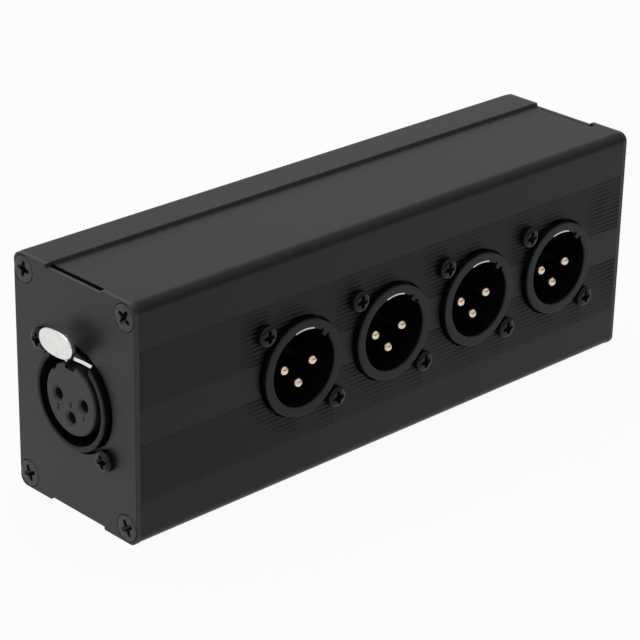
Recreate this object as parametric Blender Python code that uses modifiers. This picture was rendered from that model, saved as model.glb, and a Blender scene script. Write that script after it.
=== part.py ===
"""Passive splitter box for three-pin stage connectors: one latching input, four outputs.

Units are metres and +Z is up. The box lies along X: the input is on the -X end and the
outputs face -Y. Every connector piece is modelled in its connector's own frame, where
local X is the viewer's right, local Y is up and local Z points out of the panel, with
z = 0 on the panel's outer face.
"""

import math

import bmesh
import bpy
from mathutils import Matrix

MM = 0.001

# Clearances between separate pieces
JOINT_GAP = 0.3 * MM          # end plate to shell, panel to flange, flange to board
SEAT_GAP = 0.15 * MM          # screw head to panel, insert to bore
RUNNING_GAP = 0.08 * MM       # latch pin to latch eye, on the radius

# Contacts of the three-pin connector
CONTACT_CIRCLE = 3.9 * MM     # radius on which the three contacts lie
CONTACT_ANGLES = (0, 180, 270)
PIN_RADIUS = 1.2 * MM
PIN_TIP_PROUD = 0.35 * MM     # tip in front of the panel's face
TAIL_RADIUS = 0.5 * MM
SOCKET_WALL = 0.38 * MM
SOCKET_LENGTH = 12.0 * MM
SOCKET_SETBACK = 2.7 * MM     # socket's mouth behind the insert's face
SOCKET_TAIL_LENGTH = 2.5 * MM

# Input connector
INSERT_RADIUS = 7.5 * MM
MOUTH_GAP = 1.9 * MM          # ring-shaped room for the mating plug's barrel
INPUT_RING_WALL = 1.2 * MM
INPUT_RING_PROUD = 1.3 * MM
INPUT_HOLE_CLEARANCE = 0.75 * MM
MOUTH_DEPTH = 14.8 * MM
INSERT_RECESS = 0.2 * MM      # insert's face behind the ring's face
INSERT_COLLAR_WIDTH = 1.5 * MM
INSERT_COLLAR_THICKNESS = 1.7 * MM
KEYWAY_WIDTH = 3.0 * MM
KEYWAY_DEPTH = 1.1 * MM

# Output connectors
OUTPUT_COUNT = 4
CAVITY_RADIUS = 8.25 * MM
CAVITY_DEPTH = 14.6 * MM      # ring's face to the insert's face
OUTPUT_RING_WALL = 2.15 * MM
OUTPUT_RING_PROUD = 1.4 * MM
OUTPUT_HOLE_CLEARANCE = 0.45 * MM
OUTPUT_INSERT_THICKNESS = 4.0 * MM
KEY_ANGLE = 48                # the moulded key, seen from the front
KEY_WIDTH = 1.3 * MM
KEY_HEIGHT = 0.6 * MM
KEY_SETBACK = 0.6 * MM

# Flange and fixings that both kinds of connector share
FLANGE_THICKNESS = 2.0 * MM
FLANGE_CORNER = 2.0 * MM
REAR_WALL = 3.5 * MM          # behind the mouth, where the insert is held
RIM_CHAMFER = 0.25 * MM
FIXING_SHANK_RADIUS = 1.25 * MM
FIXING_LENGTH = 8.0 * MM
FIXING_HEAD_RADIUS = 2.25 * MM
FIXING_HEAD_HEIGHT = 1.45 * MM
FIXING_HEAD_EDGE = 0.75 * MM  # straight side of the head, below its crown
FIXING_HEAD_FLAT = 1.0 * MM   # radius of the flat on the crown
FIXING_BRIDGE = 0.7 * MM      # metal left between the ring's hole and a screw's hole
FIXING_BOSS_WALL = 1.0 * MM
FLANGE_EDGE = 0.2 * MM        # flange beyond its screw bosses

# Case
WALL = 1.5 * MM
PLATE_THICKNESS = 1.2 * MM
INPUT_BAY = 42.5 * MM         # input end to the first output's axis
END_MARGIN = 22.0 * MM        # last output's axis to the blank end
FLANGE_SPACING = 0.97 * MM    # between neighbouring output flanges
CASE_DEPTH = 36.2 * MM
CASE_HEIGHT = 50.9 * MM
SHELL_CORNER = 1.9 * MM
PLATE_CORNER = 2.0 * MM
RECESS_DEPTH = 0.65 * MM      # shallow channel along the top and the bottom
RECESS_HALF_WIDTH = 8.5 * MM
RECESS_SLOPE = 1.2 * MM
RECESS_RELIEF = 0.85 * MM     # channel's floor behind the shell's end
NOTCH_SLOPE = 0.2 * MM
LIP_THICKNESS = 0.8 * MM      # where one shell laps over the other's tongue
LIP_OVERLAP = 2.0 * MM
SLOT_DEPTH = 0.25 * MM        # relief behind each end plate's notch
SLOT_HEIGHT = 1.5 * MM

# Fine grooves along the front and the back
GROOVE_PITCH = 0.97 * MM
GROOVE_WIDTH = 0.6 * MM
GROOVE_DEPTH = 0.15 * MM
GROOVE_BAND_START = 3.7 * MM  # half the plain strip between the two bands
GROOVE_BAND_MARGIN = 9.4 * MM  # plain strip above the upper band and below the lower one

# Countersunk case screws and the channels they turn into
CASE_SCREW_INSET_Y = 2.9 * MM
CASE_SCREW_INSET_Z = 3.2 * MM
CASE_SCREW_HEAD_RADIUS = 2.8 * MM
CASE_SCREW_SHANK_RADIUS = 1.5 * MM
CASE_SCREW_LENGTH = 9.0 * MM
CASE_SCREW_CLEARANCE = 0.2 * MM
SCREW_CHANNEL_RADIUS = 2.9 * MM

# Cross recess in every screw head
CROSS_ARM_WIDTH = 0.9 * MM    # at the middle
CROSS_TIP_WIDTH = 0.7 * MM    # at the end of an arm
CROSS_DEPTH = 1.0 * MM
CROSS_REACH = 0.6             # of the head's radius
SCREW_TIP_TAPER = 0.4         # of the shank's radius

# Latch of the input connector
LATCH_WIDTH = 12.0 * MM       # slot through the ring and the latch box
LATCH_SIDE_GAP = 0.4 * MM
LATCH_THICKNESS = 0.7 * MM
LATCH_RIM_GAP = 0.05 * MM     # latch's outer face below the ring's
LATCH_BOX_WALL = 1.5 * MM
LATCH_BOX_HEIGHT = 4.65 * MM  # above the housing's barrel
LATCH_BOX_DEPTH = 9.0 * MM
LATCH_NECK_ANGLE = 20
TAB_WIDTH = 9.9 * MM
TAB_HEIGHT = 5.5 * MM
TAB_THICKNESS = 1.0 * MM
TAB_PROUD = 4.5 * MM          # tab's face in front of the end plate
TAB_OVERLAP = 0.3 * MM        # tab's lower edge below the neck's top
TAB_FULLNESS = 2.3            # exponent of the tab's rounded outline
HOOK_ANGLE = 24
HOOK_DEPTH = 1.0 * MM         # below the latch band, into the mouth
HOOK_SETBACK = 1.6 * MM       # behind the ring's face
HOOK_LENGTH = 2.1 * MM
PIVOT_HEIGHT = 0.25 * MM      # pivot's axis above the barrel's top
PIVOT_DEPTH = 6.8 * MM
LATCH_EYE_RADIUS = 1.4 * MM
LATCH_PIN_RADIUS = 0.75 * MM
SPRING_RADIUS = 1.05 * MM
SPRING_WIRE_RADIUS = 0.18 * MM
SPRING_TURNS = 4
SPRING_DEPTH = 3.3 * MM

# Board that joins the outputs in parallel, and the leads that feed it
BOARD_THICKNESS = 1.6 * MM
BOARD_HEIGHT = 30.0 * MM
BOARD_MARGIN = 12.7 * MM      # beyond the first and the last output's axis
BOARD_HOLE_RADIUS = 0.75 * MM
TAIL_PROJECTION = 1.5 * MM
LEAD_RADIUS = 0.6 * MM
LEAD_PAD_INSET = 2.5 * MM
LEAD_PAD_PITCH = 4.0 * MM
LEAD_START_PULL = 3.0 * MM
LEAD_END_PULL = 12.0 * MM

# Facets of the round forms
RING_SEGMENTS = 32
SCREW_SEGMENTS = 12
PIN_SEGMENTS = 10
HOLE_SEGMENTS = 6
CORNER_STEPS = 4
TAB_STEPS = 24
HEAD_STEPS = 2
SPRING_STEPS = 8
LEAD_POINTS = 10

# Sizes that follow
input_mouth_radius = INSERT_RADIUS + MOUTH_GAP
input_ring_radius = input_mouth_radius + INPUT_RING_WALL
input_hole_radius = input_ring_radius + INPUT_HOLE_CLEARANCE
output_ring_radius = CAVITY_RADIUS + OUTPUT_RING_WALL
output_hole_radius = output_ring_radius + OUTPUT_HOLE_CLEARANCE
fixing_hole_radius = FIXING_SHANK_RADIUS + 2 * SEAT_GAP
fixing_radius = max(input_hole_radius, output_hole_radius) + FIXING_BRIDGE + fixing_hole_radius
fixing_offset = fixing_radius / math.sqrt(2)
fixing_boss_radius = FIXING_SHANK_RADIUS + SEAT_GAP + FIXING_BOSS_WALL
flange_size = 2 * (fixing_offset + fixing_boss_radius + FLANGE_EDGE)
output_pitch = flange_size + FLANGE_SPACING
case_length = INPUT_BAY + (OUTPUT_COUNT - 1) * output_pitch + END_MARGIN
shell_length = case_length - 2 * (PLATE_THICKNESS + JOINT_GAP)
screw_channel_bore = CASE_SCREW_SHANK_RADIUS + CASE_SCREW_CLEARANCE
front_proud = max(OUTPUT_RING_PROUD, SEAT_GAP + FIXING_HEAD_HEIGHT)
output_insert_face = OUTPUT_RING_PROUD - CAVITY_DEPTH
output_rear_face = output_insert_face - OUTPUT_INSERT_THICKNESS
board_front_face = output_rear_face - JOINT_GAP
mouth_floor = INPUT_RING_PROUD - MOUTH_DEPTH
input_rear_face = mouth_floor - REAR_WALL
insert_rear_face = input_rear_face - JOINT_GAP - INSERT_COLLAR_THICKNESS
socket_radius = PIN_RADIUS + SOCKET_WALL
socket_front = INPUT_RING_PROUD - INSERT_RECESS - SOCKET_SETBACK
socket_tail_end = insert_rear_face - SEAT_GAP - SOCKET_TAIL_LENGTH
latch_outer_radius = input_ring_radius - LATCH_RIM_GAP
latch_inner_radius = latch_outer_radius - LATCH_THICKNESS
latch_half_width = LATCH_WIDTH / 2 - LATCH_SIDE_GAP
latch_slot_top = input_ring_radius + LATCH_BOX_HEIGHT - LATCH_BOX_WALL
tab_centre = latch_outer_radius - TAB_OVERLAP + TAB_HEIGHT / 2
pivot_y = input_ring_radius + PIVOT_HEIGHT

VIEW_FROM_FRONT = (math.pi / 2, 0, 0)
VIEW_FROM_INPUT_END = (math.pi / 2, 0, -math.pi / 2)
VIEW_FROM_BLANK_END = (math.pi / 2, 0, math.pi / 2)
TURNED_OVER = (-math.pi / 2, 0, -math.pi / 2)


def clear_scene():
    """Removes every object that the file opened with."""
    for leftover in list(bpy.data.objects):
        bpy.data.objects.remove(leftover)


def finish(name, colour, roughness, metallic=0.0):
    """Makes a Principled material."""
    material = bpy.data.materials.new(name)
    material.use_nodes = True
    shader = material.node_tree.nodes["Principled BSDF"]
    shader.inputs["Base Color"].default_value = (*colour, 1)
    shader.inputs["Roughness"].default_value = roughness
    shader.inputs["Metallic"].default_value = metallic
    return material


def axis_empty(name, location, rotation=(0, 0, 0), parent=None):
    """Adds an empty that carries the pieces of one connector or one joint."""
    empty = bpy.data.objects.new(name, None)
    empty.location = location
    empty.rotation_euler = rotation
    empty.parent = parent
    model.objects.link(empty)
    return empty


def loose_object(name, data):
    """Links new data to the model so that modifiers on it can be evaluated."""
    obj = bpy.data.objects.new(name, data)
    model.objects.link(obj)
    return obj


def evaluated_mesh(obj):
    """Returns the object's mesh as its modifiers leave it."""
    bpy.context.view_layer.update()
    depsgraph = bpy.context.evaluated_depsgraph_get()
    return bpy.data.meshes.new_from_object(obj.evaluated_get(depsgraph))


def place(name, shape, material, parent, location=(0, 0, 0), rotation=(0, 0, 0)):
    """Turns a finished shape into the named piece and hangs it on its frame."""
    shape.name = name
    shape.data.name = name
    shape.data.materials.clear()
    shape.data.materials.append(material)
    shape.data.shade_smooth()
    shape.data.set_sharp_from_angle(angle=math.radians(35))
    shape.parent = parent
    shape.location = location
    shape.rotation_euler = rotation
    return shape


def boolean(body, tool, operation):
    """Joins the tool to the body or cuts it out, and removes the tool."""
    modifier = body.modifiers.new(operation.lower(), "BOOLEAN")
    modifier.operation = operation
    modifier.solver = "EXACT"
    modifier.object = tool
    shaped = evaluated_mesh(body)
    body.modifiers.remove(modifier)
    body.data = shaped
    bpy.data.objects.remove(tool)
    return body


def join(body, *tools):
    """Unites the tools with the body."""
    for tool in tools:
        boolean(body, tool, "UNION")
    return body


def cut(body, *tools):
    """Cuts the tools out of the body."""
    for tool in tools:
        boolean(body, tool, "DIFFERENCE")
    return body


def arc(centre, radius, start, end, steps):
    """Points on an arc, from one angle to the other in degrees, both ends included."""
    points = []
    for step in range(steps + 1):
        angle = math.radians(start + (end - start) * step / steps)
        points.append((centre[0] + radius * math.cos(angle), centre[1] + radius * math.sin(angle)))
    return points


def circle(centre, radius, steps):
    """Points of a closed circle."""
    return arc(centre, radius, 0, 360, steps)[:-1]


def rounded_rectangle(width, height, corner, steps=4):
    """Outline of a rectangle about the origin with round corners."""
    x, y = width / 2 - corner, height / 2 - corner
    centres = ((x, y), (-x, y), (-x, -y), (x, -y))
    return [p for i, c in enumerate(centres) for p in arc(c, corner, 90 * i, 90 * i + 90, steps)]


def prism(loops, bottom, top):
    """Solid between two heights whose outline, and any holes, are flat closed loops."""
    curve = bpy.data.curves.new("outline", "CURVE")
    curve.dimensions = "2D"
    curve.fill_mode = "BOTH"
    curve.extrude = (top - bottom) / 2
    for loop in loops:
        spline = curve.splines.new("POLY")
        spline.points.add(len(loop) - 1)
        for point, (x, y) in zip(spline.points, loop):
            point.co = (x, y, 0, 1)
        spline.use_cyclic_u = True
    drawn = loose_object("outline", curve)
    mesh = evaluated_mesh(drawn)
    bpy.data.objects.remove(drawn)
    mesh.transform(Matrix.Translation((0, 0, (top + bottom) / 2)))
    close_mesh(mesh)
    return loose_object("prism", mesh)


def close_mesh(mesh):
    """Welds a curve's loose caps and turns all faces outwards."""
    shape = bmesh.new()
    shape.from_mesh(mesh)
    bmesh.ops.remove_doubles(shape, verts=shape.verts, dist=0.001 * MM)
    bmesh.ops.recalc_face_normals(shape, faces=shape.faces)
    shape.to_mesh(mesh)
    shape.free()


def cylinder(radius, bottom, top, centre=(0, 0), segments=32, top_radius=None):
    """Upright cylinder, or a cone where the top radius is given."""
    mesh = bpy.data.meshes.new("cylinder")
    shape = bmesh.new()
    place_at = Matrix.Translation((centre[0], centre[1], (bottom + top) / 2))
    bmesh.ops.create_cone(shape, cap_ends=True, segments=segments, radius1=radius,
                          radius2=radius if top_radius is None else top_radius,
                          depth=top - bottom, matrix=place_at)
    shape.to_mesh(mesh)
    shape.free()
    return loose_object("cylinder", mesh)


def cross_bar(radius, length, centre, segments):
    """Cylinder that lies along local X, about a centre in the local YZ plane."""
    bar = cylinder(radius, -length / 2, length / 2, segments=segments)
    bar.data.transform(Matrix.Rotation(math.pi / 2, 4, "Y"))
    bar.data.transform(Matrix.Translation((0, centre[0], centre[1])))
    return bar


def box(x, y, z):
    """Box between the low and high values given for each axis."""
    mesh = bpy.data.meshes.new("box")
    shape = bmesh.new()
    bmesh.ops.create_cube(shape, size=1)
    spans = [high - low for low, high in (x, y, z)]
    middle = [(low + high) / 2 for low, high in (x, y, z)]
    bmesh.ops.transform(shape, matrix=Matrix.Translation(middle) @ Matrix.Diagonal((*spans, 1)),
                        verts=shape.verts)
    shape.to_mesh(mesh)
    shape.free()
    return loose_object("box", mesh)


def turned(profile, segments=24):
    """Turned piece from (radius, height) points that run down its outer side."""
    mesh = bpy.data.meshes.new("profile")
    points = [(radius, 0, height) for radius, height in profile]
    mesh.from_pydata(points, [(i, i + 1) for i in range(len(points) - 1)], [])
    shape = loose_object("turned", mesh)
    screw = shape.modifiers.new("turn", "SCREW")
    screw.steps = screw.render_steps = segments
    screw.use_merge_vertices = True
    screw.merge_threshold = 0.001 * MM
    shape.data = evaluated_mesh(shape)
    shape.modifiers.clear()
    return shape


def spun_in_plane(shape, angle):
    """Turns a shape about local Z by an angle in degrees."""
    shape.data.transform(Matrix.Rotation(math.radians(angle), 4, "Z"))
    return shape


def arc_band(inner, outer, half_angle, bottom, top, steps=8):
    """Curved plate centred on the top of a circle."""
    outline = arc((0, 0), outer, 90 - half_angle, 90 + half_angle, steps)
    outline += arc((0, 0), inner, 90 + half_angle, 90 - half_angle, steps)
    return prism([outline], bottom, top)


def contact_places():
    """Local positions of contacts 1, 2 and 3."""
    return [arc((0, 0), CONTACT_CIRCLE, angle, angle, 1)[0] for angle in CONTACT_ANGLES]


def fixing_places():
    """Local positions of the two screws of a connector: upper left and lower right."""
    return ((-fixing_offset, fixing_offset), (fixing_offset, -fixing_offset))


def case_screw_places():
    """Positions of the four case screws in the plane of an end plate."""
    y = CASE_DEPTH / 2 - CASE_SCREW_INSET_Y
    z = CASE_HEIGHT / 2 - CASE_SCREW_INSET_Z
    return ((-y, -z), (y, -z), (y, z), (-y, z))


def cross_recess(head_radius, head_top):
    """Cutter for the cross slot in a screw's head."""
    reach, half, tip = head_radius * CROSS_REACH, CROSS_ARM_WIDTH / 2, CROSS_TIP_WIDTH / 2
    outline = []
    for quarter in range(4):
        cosine, sine = round(math.cos(quarter * math.pi / 2)), round(math.sin(quarter * math.pi / 2))
        for x, y in ((reach, -tip), (reach, tip), (half, half)):
            outline.append((x * cosine - y * sine, x * sine + y * cosine))
    return prism([outline], head_top - CROSS_DEPTH, head_top + CROSS_DEPTH)


def shank_end(radius, tip):
    """Last profile points of a screw: a short lead-in taper."""
    taper = radius * SCREW_TIP_TAPER
    return [(radius, tip + taper), (radius - taper, tip), (0, tip)]


def fixing_screw():
    """Pan head screw that holds a connector, seated on the panel's face."""
    height, edge, flat = FIXING_HEAD_HEIGHT, FIXING_HEAD_EDGE, FIXING_HEAD_FLAT
    crown = [(0, SEAT_GAP + height)]
    for step in range(HEAD_STEPS + 1):
        angle = math.pi / 2 * step / HEAD_STEPS
        crown.append((flat + (FIXING_HEAD_RADIUS - flat) * math.sin(angle),
                      SEAT_GAP + edge + (height - edge) * math.cos(angle)))
    neck = [(FIXING_HEAD_RADIUS, SEAT_GAP), (FIXING_SHANK_RADIUS, SEAT_GAP)]
    tip = SEAT_GAP - FIXING_LENGTH
    screw = turned(crown + neck + shank_end(FIXING_SHANK_RADIUS, tip), SCREW_SEGMENTS)
    return cut(screw, cross_recess(FIXING_HEAD_RADIUS, SEAT_GAP + height))


def case_screw():
    """Countersunk screw whose head lies flush with an end plate."""
    head, shank = CASE_SCREW_HEAD_RADIUS, CASE_SCREW_SHANK_RADIUS
    profile = [(0, 0), (head, 0), (shank, shank - head)] + shank_end(shank, -CASE_SCREW_LENGTH)
    return cut(turned(profile, SCREW_SEGMENTS), cross_recess(head, 0))


def shell_outline():
    """Section of one case half, with the panel on the left and the long wall on top.

    The long wall reaches past the recess and ends in a tongue. The short wall below ends
    in a lip, which the other half's tongue slides under when that half is turned over.
    """
    y, z = CASE_DEPTH / 2, CASE_HEIGHT / 2
    inner_y, inner_z = y - WALL, z - RECESS_DEPTH - WALL
    screw = (-y + CASE_SCREW_INSET_Y, z - CASE_SCREW_INSET_Z)
    tongue_end, tongue_top = RECESS_HALF_WIDTH + LIP_OVERLAP, z - LIP_THICKNESS - JOINT_GAP
    corner_y, corner_z = -y + SHELL_CORNER, z - SHELL_CORNER

    outline = [(tongue_end, tongue_top), (RECESS_HALF_WIDTH - JOINT_GAP, tongue_top),
               (RECESS_HALF_WIDTH - JOINT_GAP, z - RECESS_DEPTH),
               (-RECESS_HALF_WIDTH, z - RECESS_DEPTH), (-RECESS_HALF_WIDTH - RECESS_SLOPE, z)]
    outline += arc((corner_y, corner_z), SHELL_CORNER, 90, 180, CORNER_STEPS)
    for centre in groove_heights():
        outline += [(-y, centre + GROOVE_WIDTH / 2), (-y + GROOVE_DEPTH, centre),
                    (-y, centre - GROOVE_WIDTH / 2)]
    outline += arc((corner_y, -corner_z), SHELL_CORNER, 180, 270, CORNER_STEPS)
    undercut = tongue_end + JOINT_GAP
    outline += [(-RECESS_HALF_WIDTH, -z), (-RECESS_HALF_WIDTH, -z + LIP_THICKNESS),
                (-undercut, -z + LIP_THICKNESS), (-undercut, -inner_z)]

    wall_angle = math.degrees(math.acos((screw[0] + inner_y) / SCREW_CHANNEL_RADIUS))
    roof_angle = math.degrees(math.asin((inner_z - screw[1]) / SCREW_CHANNEL_RADIUS))
    lower = arc((screw[0], -screw[1]), SCREW_CHANNEL_RADIUS, -roof_angle, 180 - wall_angle, CORNER_STEPS)
    outline += lower + [(p[0], -p[1]) for p in reversed(lower)]
    outline.append((tongue_end, inner_z))
    bores = [circle((screw[0], side * screw[1]), screw_channel_bore, SCREW_SEGMENTS) for side in (1, -1)]
    return [outline] + bores


def groove_heights():
    """Heights of the groove centres, from the top one down."""
    band = CASE_HEIGHT / 2 - GROOVE_BAND_MARGIN - GROOVE_BAND_START - GROOVE_WIDTH
    count = 1 + int(band / GROOVE_PITCH)
    first = GROOVE_BAND_START + GROOVE_WIDTH / 2
    upper = [first + index * GROOVE_PITCH for index in reversed(range(count))]
    return upper + [-height for height in reversed(upper)]


def shell():
    """One case half, drawn with its length along local Z."""
    half, end = RECESS_HALF_WIDTH - JOINT_GAP, shell_length / 2
    floor = CASE_HEIGHT / 2 - RECESS_DEPTH
    reliefs = [box((-half, half), (floor - 2 * WALL, floor + WALL),
                   sorted((side * (end - RECESS_RELIEF), side * (end + WALL))))
               for side in (1, -1)]
    return cut(prism(shell_outline(), -end, end), *reliefs)


def opened_for_outputs(front):
    """Cuts the ring and screw holes of every output into the front shell."""
    for x in output_positions():
        frame = Matrix.Translation((x, -CASE_DEPTH / 2, 0)) @ Matrix.Rotation(math.pi / 2, 4, "X")
        holes = [cylinder(output_hole_radius, -2 * WALL, WALL, segments=RING_SEGMENTS)]
        holes += [cylinder(fixing_hole_radius, -2 * WALL, WALL, centre, SCREW_SEGMENTS)
                  for centre in fixing_places()]
        for hole in holes:
            hole.data.transform(frame)
        cut(front, *holes)
    return front


def end_plate(openings):
    """End plate with countersunk corners, drawn with its outer face at z = 0."""
    y, z = CASE_DEPTH / 2, CASE_HEIGHT / 2
    notch_floor = RECESS_HALF_WIDTH - JOINT_GAP
    notch_top = notch_floor + NOTCH_SLOPE
    half = [(notch_top, -z)] + arc((y - PLATE_CORNER, -z + PLATE_CORNER), PLATE_CORNER, -90, 0, CORNER_STEPS)
    half += arc((y - PLATE_CORNER, z - PLATE_CORNER), PLATE_CORNER, 0, 90, CORNER_STEPS)
    half += [(notch_top, z), (notch_floor, z - RECESS_DEPTH)]
    half.insert(0, (notch_floor, -z + RECESS_DEPTH))
    outline = half + [(-p[0], -p[1]) for p in half]
    plate = prism([outline] + openings, -PLATE_THICKNESS, 0)
    sink = CASE_SCREW_HEAD_RADIUS + CASE_SCREW_CLEARANCE
    for centre in case_screw_places():
        cut(plate, cylinder(sink - 2 * PLATE_THICKNESS + CASE_SCREW_CLEARANCE, -2 * PLATE_THICKNESS
                            + CASE_SCREW_CLEARANCE, CASE_SCREW_CLEARANCE, centre, SCREW_SEGMENTS,
                            top_radius=sink + CASE_SCREW_CLEARANCE))
    for side in (1, -1):
        edges = sorted((side * z, side * (z - RECESS_DEPTH - SLOT_HEIGHT)))
        cut(plate, box((-notch_floor, notch_floor), edges,
                       (-2 * PLATE_THICKNESS, SLOT_DEPTH - PLATE_THICKNESS)))
    return plate


def connector_blank(ring_radius, ring_face, rear_face, flange_front):
    """Barrel, flange and screw bosses of a connector, before anything is cut."""
    body = turned([(0, ring_face), (ring_radius - RIM_CHAMFER, ring_face),
                   (ring_radius, ring_face - RIM_CHAMFER), (ring_radius, rear_face),
                   (0, rear_face)], RING_SEGMENTS)
    flange = prism([rounded_rectangle(flange_size, flange_size, FLANGE_CORNER)],
                   flange_front - FLANGE_THICKNESS, flange_front)
    bosses = [cylinder(fixing_boss_radius, -FIXING_LENGTH, flange_front - FLANGE_THICKNESS / 2,
                       centre, SCREW_SEGMENTS) for centre in fixing_places()]
    return join(body, flange, *bosses)


def fixing_bores(flange_front):
    """Cutters for the screws' holes through a flange and its bosses."""
    return [cylinder(FIXING_SHANK_RADIUS + SEAT_GAP, -FIXING_LENGTH - WALL, flange_front + WALL,
                     centre, SCREW_SEGMENTS) for centre in fixing_places()]


def input_housing():
    """Input connector's housing: ring, mouth, rear wall and the box over the latch."""
    flange_front = -PLATE_THICKNESS - JOINT_GAP
    housing = connector_blank(input_ring_radius, INPUT_RING_PROUD, input_rear_face, flange_front)
    half, box_rear = LATCH_WIDTH / 2, flange_front - LATCH_BOX_DEPTH
    join(housing, box((-half - LATCH_BOX_WALL, half + LATCH_BOX_WALL),
                      (0, latch_slot_top + LATCH_BOX_WALL), (box_rear, flange_front)))
    mouth = cylinder(input_mouth_radius, mouth_floor, 2 * INPUT_RING_PROUD, segments=RING_SEGMENTS)
    bore = cylinder(INSERT_RADIUS + SEAT_GAP, input_rear_face - WALL, mouth_floor + WALL,
                    segments=RING_SEGMENTS)
    slot = box((-half, half), (0, latch_slot_top), (box_rear + LATCH_BOX_WALL, 2 * INPUT_RING_PROUD))
    pin_hole = cross_bar(LATCH_PIN_RADIUS + RUNNING_GAP, 2 * LATCH_WIDTH, (pivot_y, -PIVOT_DEPTH),
                         PIN_SEGMENTS)
    return cut(housing, mouth, bore, slot, pin_hole, *fixing_bores(flange_front))


def input_insert():
    """Input connector's insert: a block with three sockets and the keyways."""
    face, collar = INPUT_RING_PROUD - INSERT_RECESS, INSERT_RADIUS + INSERT_COLLAR_WIDTH
    insert = turned([(0, face), (INSERT_RADIUS, face), (INSERT_RADIUS, input_rear_face - JOINT_GAP),
                     (collar, input_rear_face - JOINT_GAP), (collar, insert_rear_face),
                     (0, insert_rear_face)], RING_SEGMENTS)
    for centre in contact_places():
        mouth = cylinder(PIN_RADIUS + SEAT_GAP, socket_front, face + WALL, centre, PIN_SEGMENTS)
        seat = cylinder(socket_radius + SEAT_GAP, insert_rear_face - WALL, socket_front + SEAT_GAP,
                        centre, PIN_SEGMENTS)
        cut(insert, mouth, seat)
    keyway = box((-KEYWAY_WIDTH / 2, KEYWAY_WIDTH / 2), (INSERT_RADIUS - KEYWAY_DEPTH, 2 * INSERT_RADIUS),
                 (mouth_floor, face + WALL))
    side_half = KEY_WIDTH / 2 + SEAT_GAP
    side = box((INSERT_RADIUS - KEY_HEIGHT, 2 * INSERT_RADIUS), (-side_half, side_half),
               (mouth_floor, face + WALL))
    return cut(insert, keyway, spun_in_plane(side, 180 - KEY_ANGLE))


def socket_contact():
    """Hollow contact of the input, with a tail for its lead."""
    bore, bore_end = PIN_RADIUS + RUNNING_GAP, socket_front - SOCKET_LENGTH
    shoulder = insert_rear_face - SEAT_GAP
    return turned([(0, bore_end), (bore, bore_end), (bore, socket_front), (socket_radius, socket_front),
                   (socket_radius, shoulder), (TAIL_RADIUS, shoulder), (TAIL_RADIUS, socket_tail_end),
                   (0, socket_tail_end)], PIN_SEGMENTS)


def pin_contact():
    """Solid contact of an output, with a round tip and a tail through the board."""
    tip = []
    for step in range(HEAD_STEPS + 1):
        angle = math.pi / 2 * step / HEAD_STEPS
        tip.append((PIN_RADIUS * math.sin(angle),
                    PIN_TIP_PROUD - PIN_RADIUS * (1 - math.cos(angle))))
    tail_end = board_front_face - BOARD_THICKNESS - TAIL_PROJECTION
    return turned(tip + [(PIN_RADIUS, output_rear_face), (TAIL_RADIUS, output_rear_face),
                         (TAIL_RADIUS, tail_end), (0, tail_end)], PIN_SEGMENTS)


def output_housing():
    """Output connector's housing: ring, flange, open cavity and the moulded key."""
    flange_front = -WALL - JOINT_GAP
    housing = connector_blank(output_ring_radius, OUTPUT_RING_PROUD, output_rear_face, flange_front)
    cut(housing, cylinder(CAVITY_RADIUS, output_rear_face - WALL, 2 * OUTPUT_RING_PROUD,
                          segments=RING_SEGMENTS), *fixing_bores(flange_front))
    key = box((CAVITY_RADIUS - KEY_HEIGHT, CAVITY_RADIUS + OUTPUT_RING_WALL / 2),
              (-KEY_WIDTH / 2, KEY_WIDTH / 2),
              (output_insert_face + JOINT_GAP, OUTPUT_RING_PROUD - KEY_SETBACK))
    return join(housing, spun_in_plane(key, KEY_ANGLE))


def output_insert():
    """Disc at the bottom of an output's cavity, which holds its pins."""
    holes = [circle(centre, PIN_RADIUS + SEAT_GAP, PIN_SEGMENTS) for centre in contact_places()]
    return prism([circle((0, 0), CAVITY_RADIUS - SEAT_GAP, RING_SEGMENTS)] + holes,
                 output_rear_face, output_insert_face)


def tab_outline():
    """Rounded outline of the latch's tab, centred above the ring."""
    outline = []
    for x, y in circle((0, 0), 1, TAB_STEPS):
        outline.append((TAB_WIDTH / 2 * math.copysign(abs(x) ** (2 / TAB_FULLNESS), x),
                        tab_centre + TAB_HEIGHT / 2 * math.copysign(abs(y) ** (2 / TAB_FULLNESS), y)))
    return outline


def latch_lever():
    """Latch: tab, neck, curved band in the ring's gap, hook and the eye it turns on."""
    half_angle = math.degrees(math.asin(latch_half_width / latch_outer_radius))
    lever = arc_band(latch_inner_radius, latch_outer_radius, half_angle,
                     LATCH_EYE_RADIUS / 2 - PIVOT_DEPTH, INPUT_RING_PROUD)
    skin = LATCH_THICKNESS / 6
    neck = arc_band(latch_inner_radius + skin, latch_outer_radius - skin, LATCH_NECK_ANGLE,
                    INPUT_RING_PROUD / 2, TAB_PROUD - TAB_THICKNESS / 2)
    tab = prism([tab_outline()], TAB_PROUD - TAB_THICKNESS, TAB_PROUD)
    hook_front = INPUT_RING_PROUD - HOOK_SETBACK
    hook = arc_band(latch_inner_radius - HOOK_DEPTH, latch_inner_radius + LATCH_THICKNESS / 2, HOOK_ANGLE,
                    hook_front - HOOK_LENGTH, hook_front)
    pivot = (pivot_y, -PIVOT_DEPTH)
    eye = cross_bar(LATCH_EYE_RADIUS, 2 * latch_half_width, pivot, PIN_SEGMENTS)
    join(lever, neck, tab, hook, eye)
    return cut(lever, cross_bar(LATCH_PIN_RADIUS + RUNNING_GAP, 2 * LATCH_WIDTH, pivot, PIN_SEGMENTS))


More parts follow.
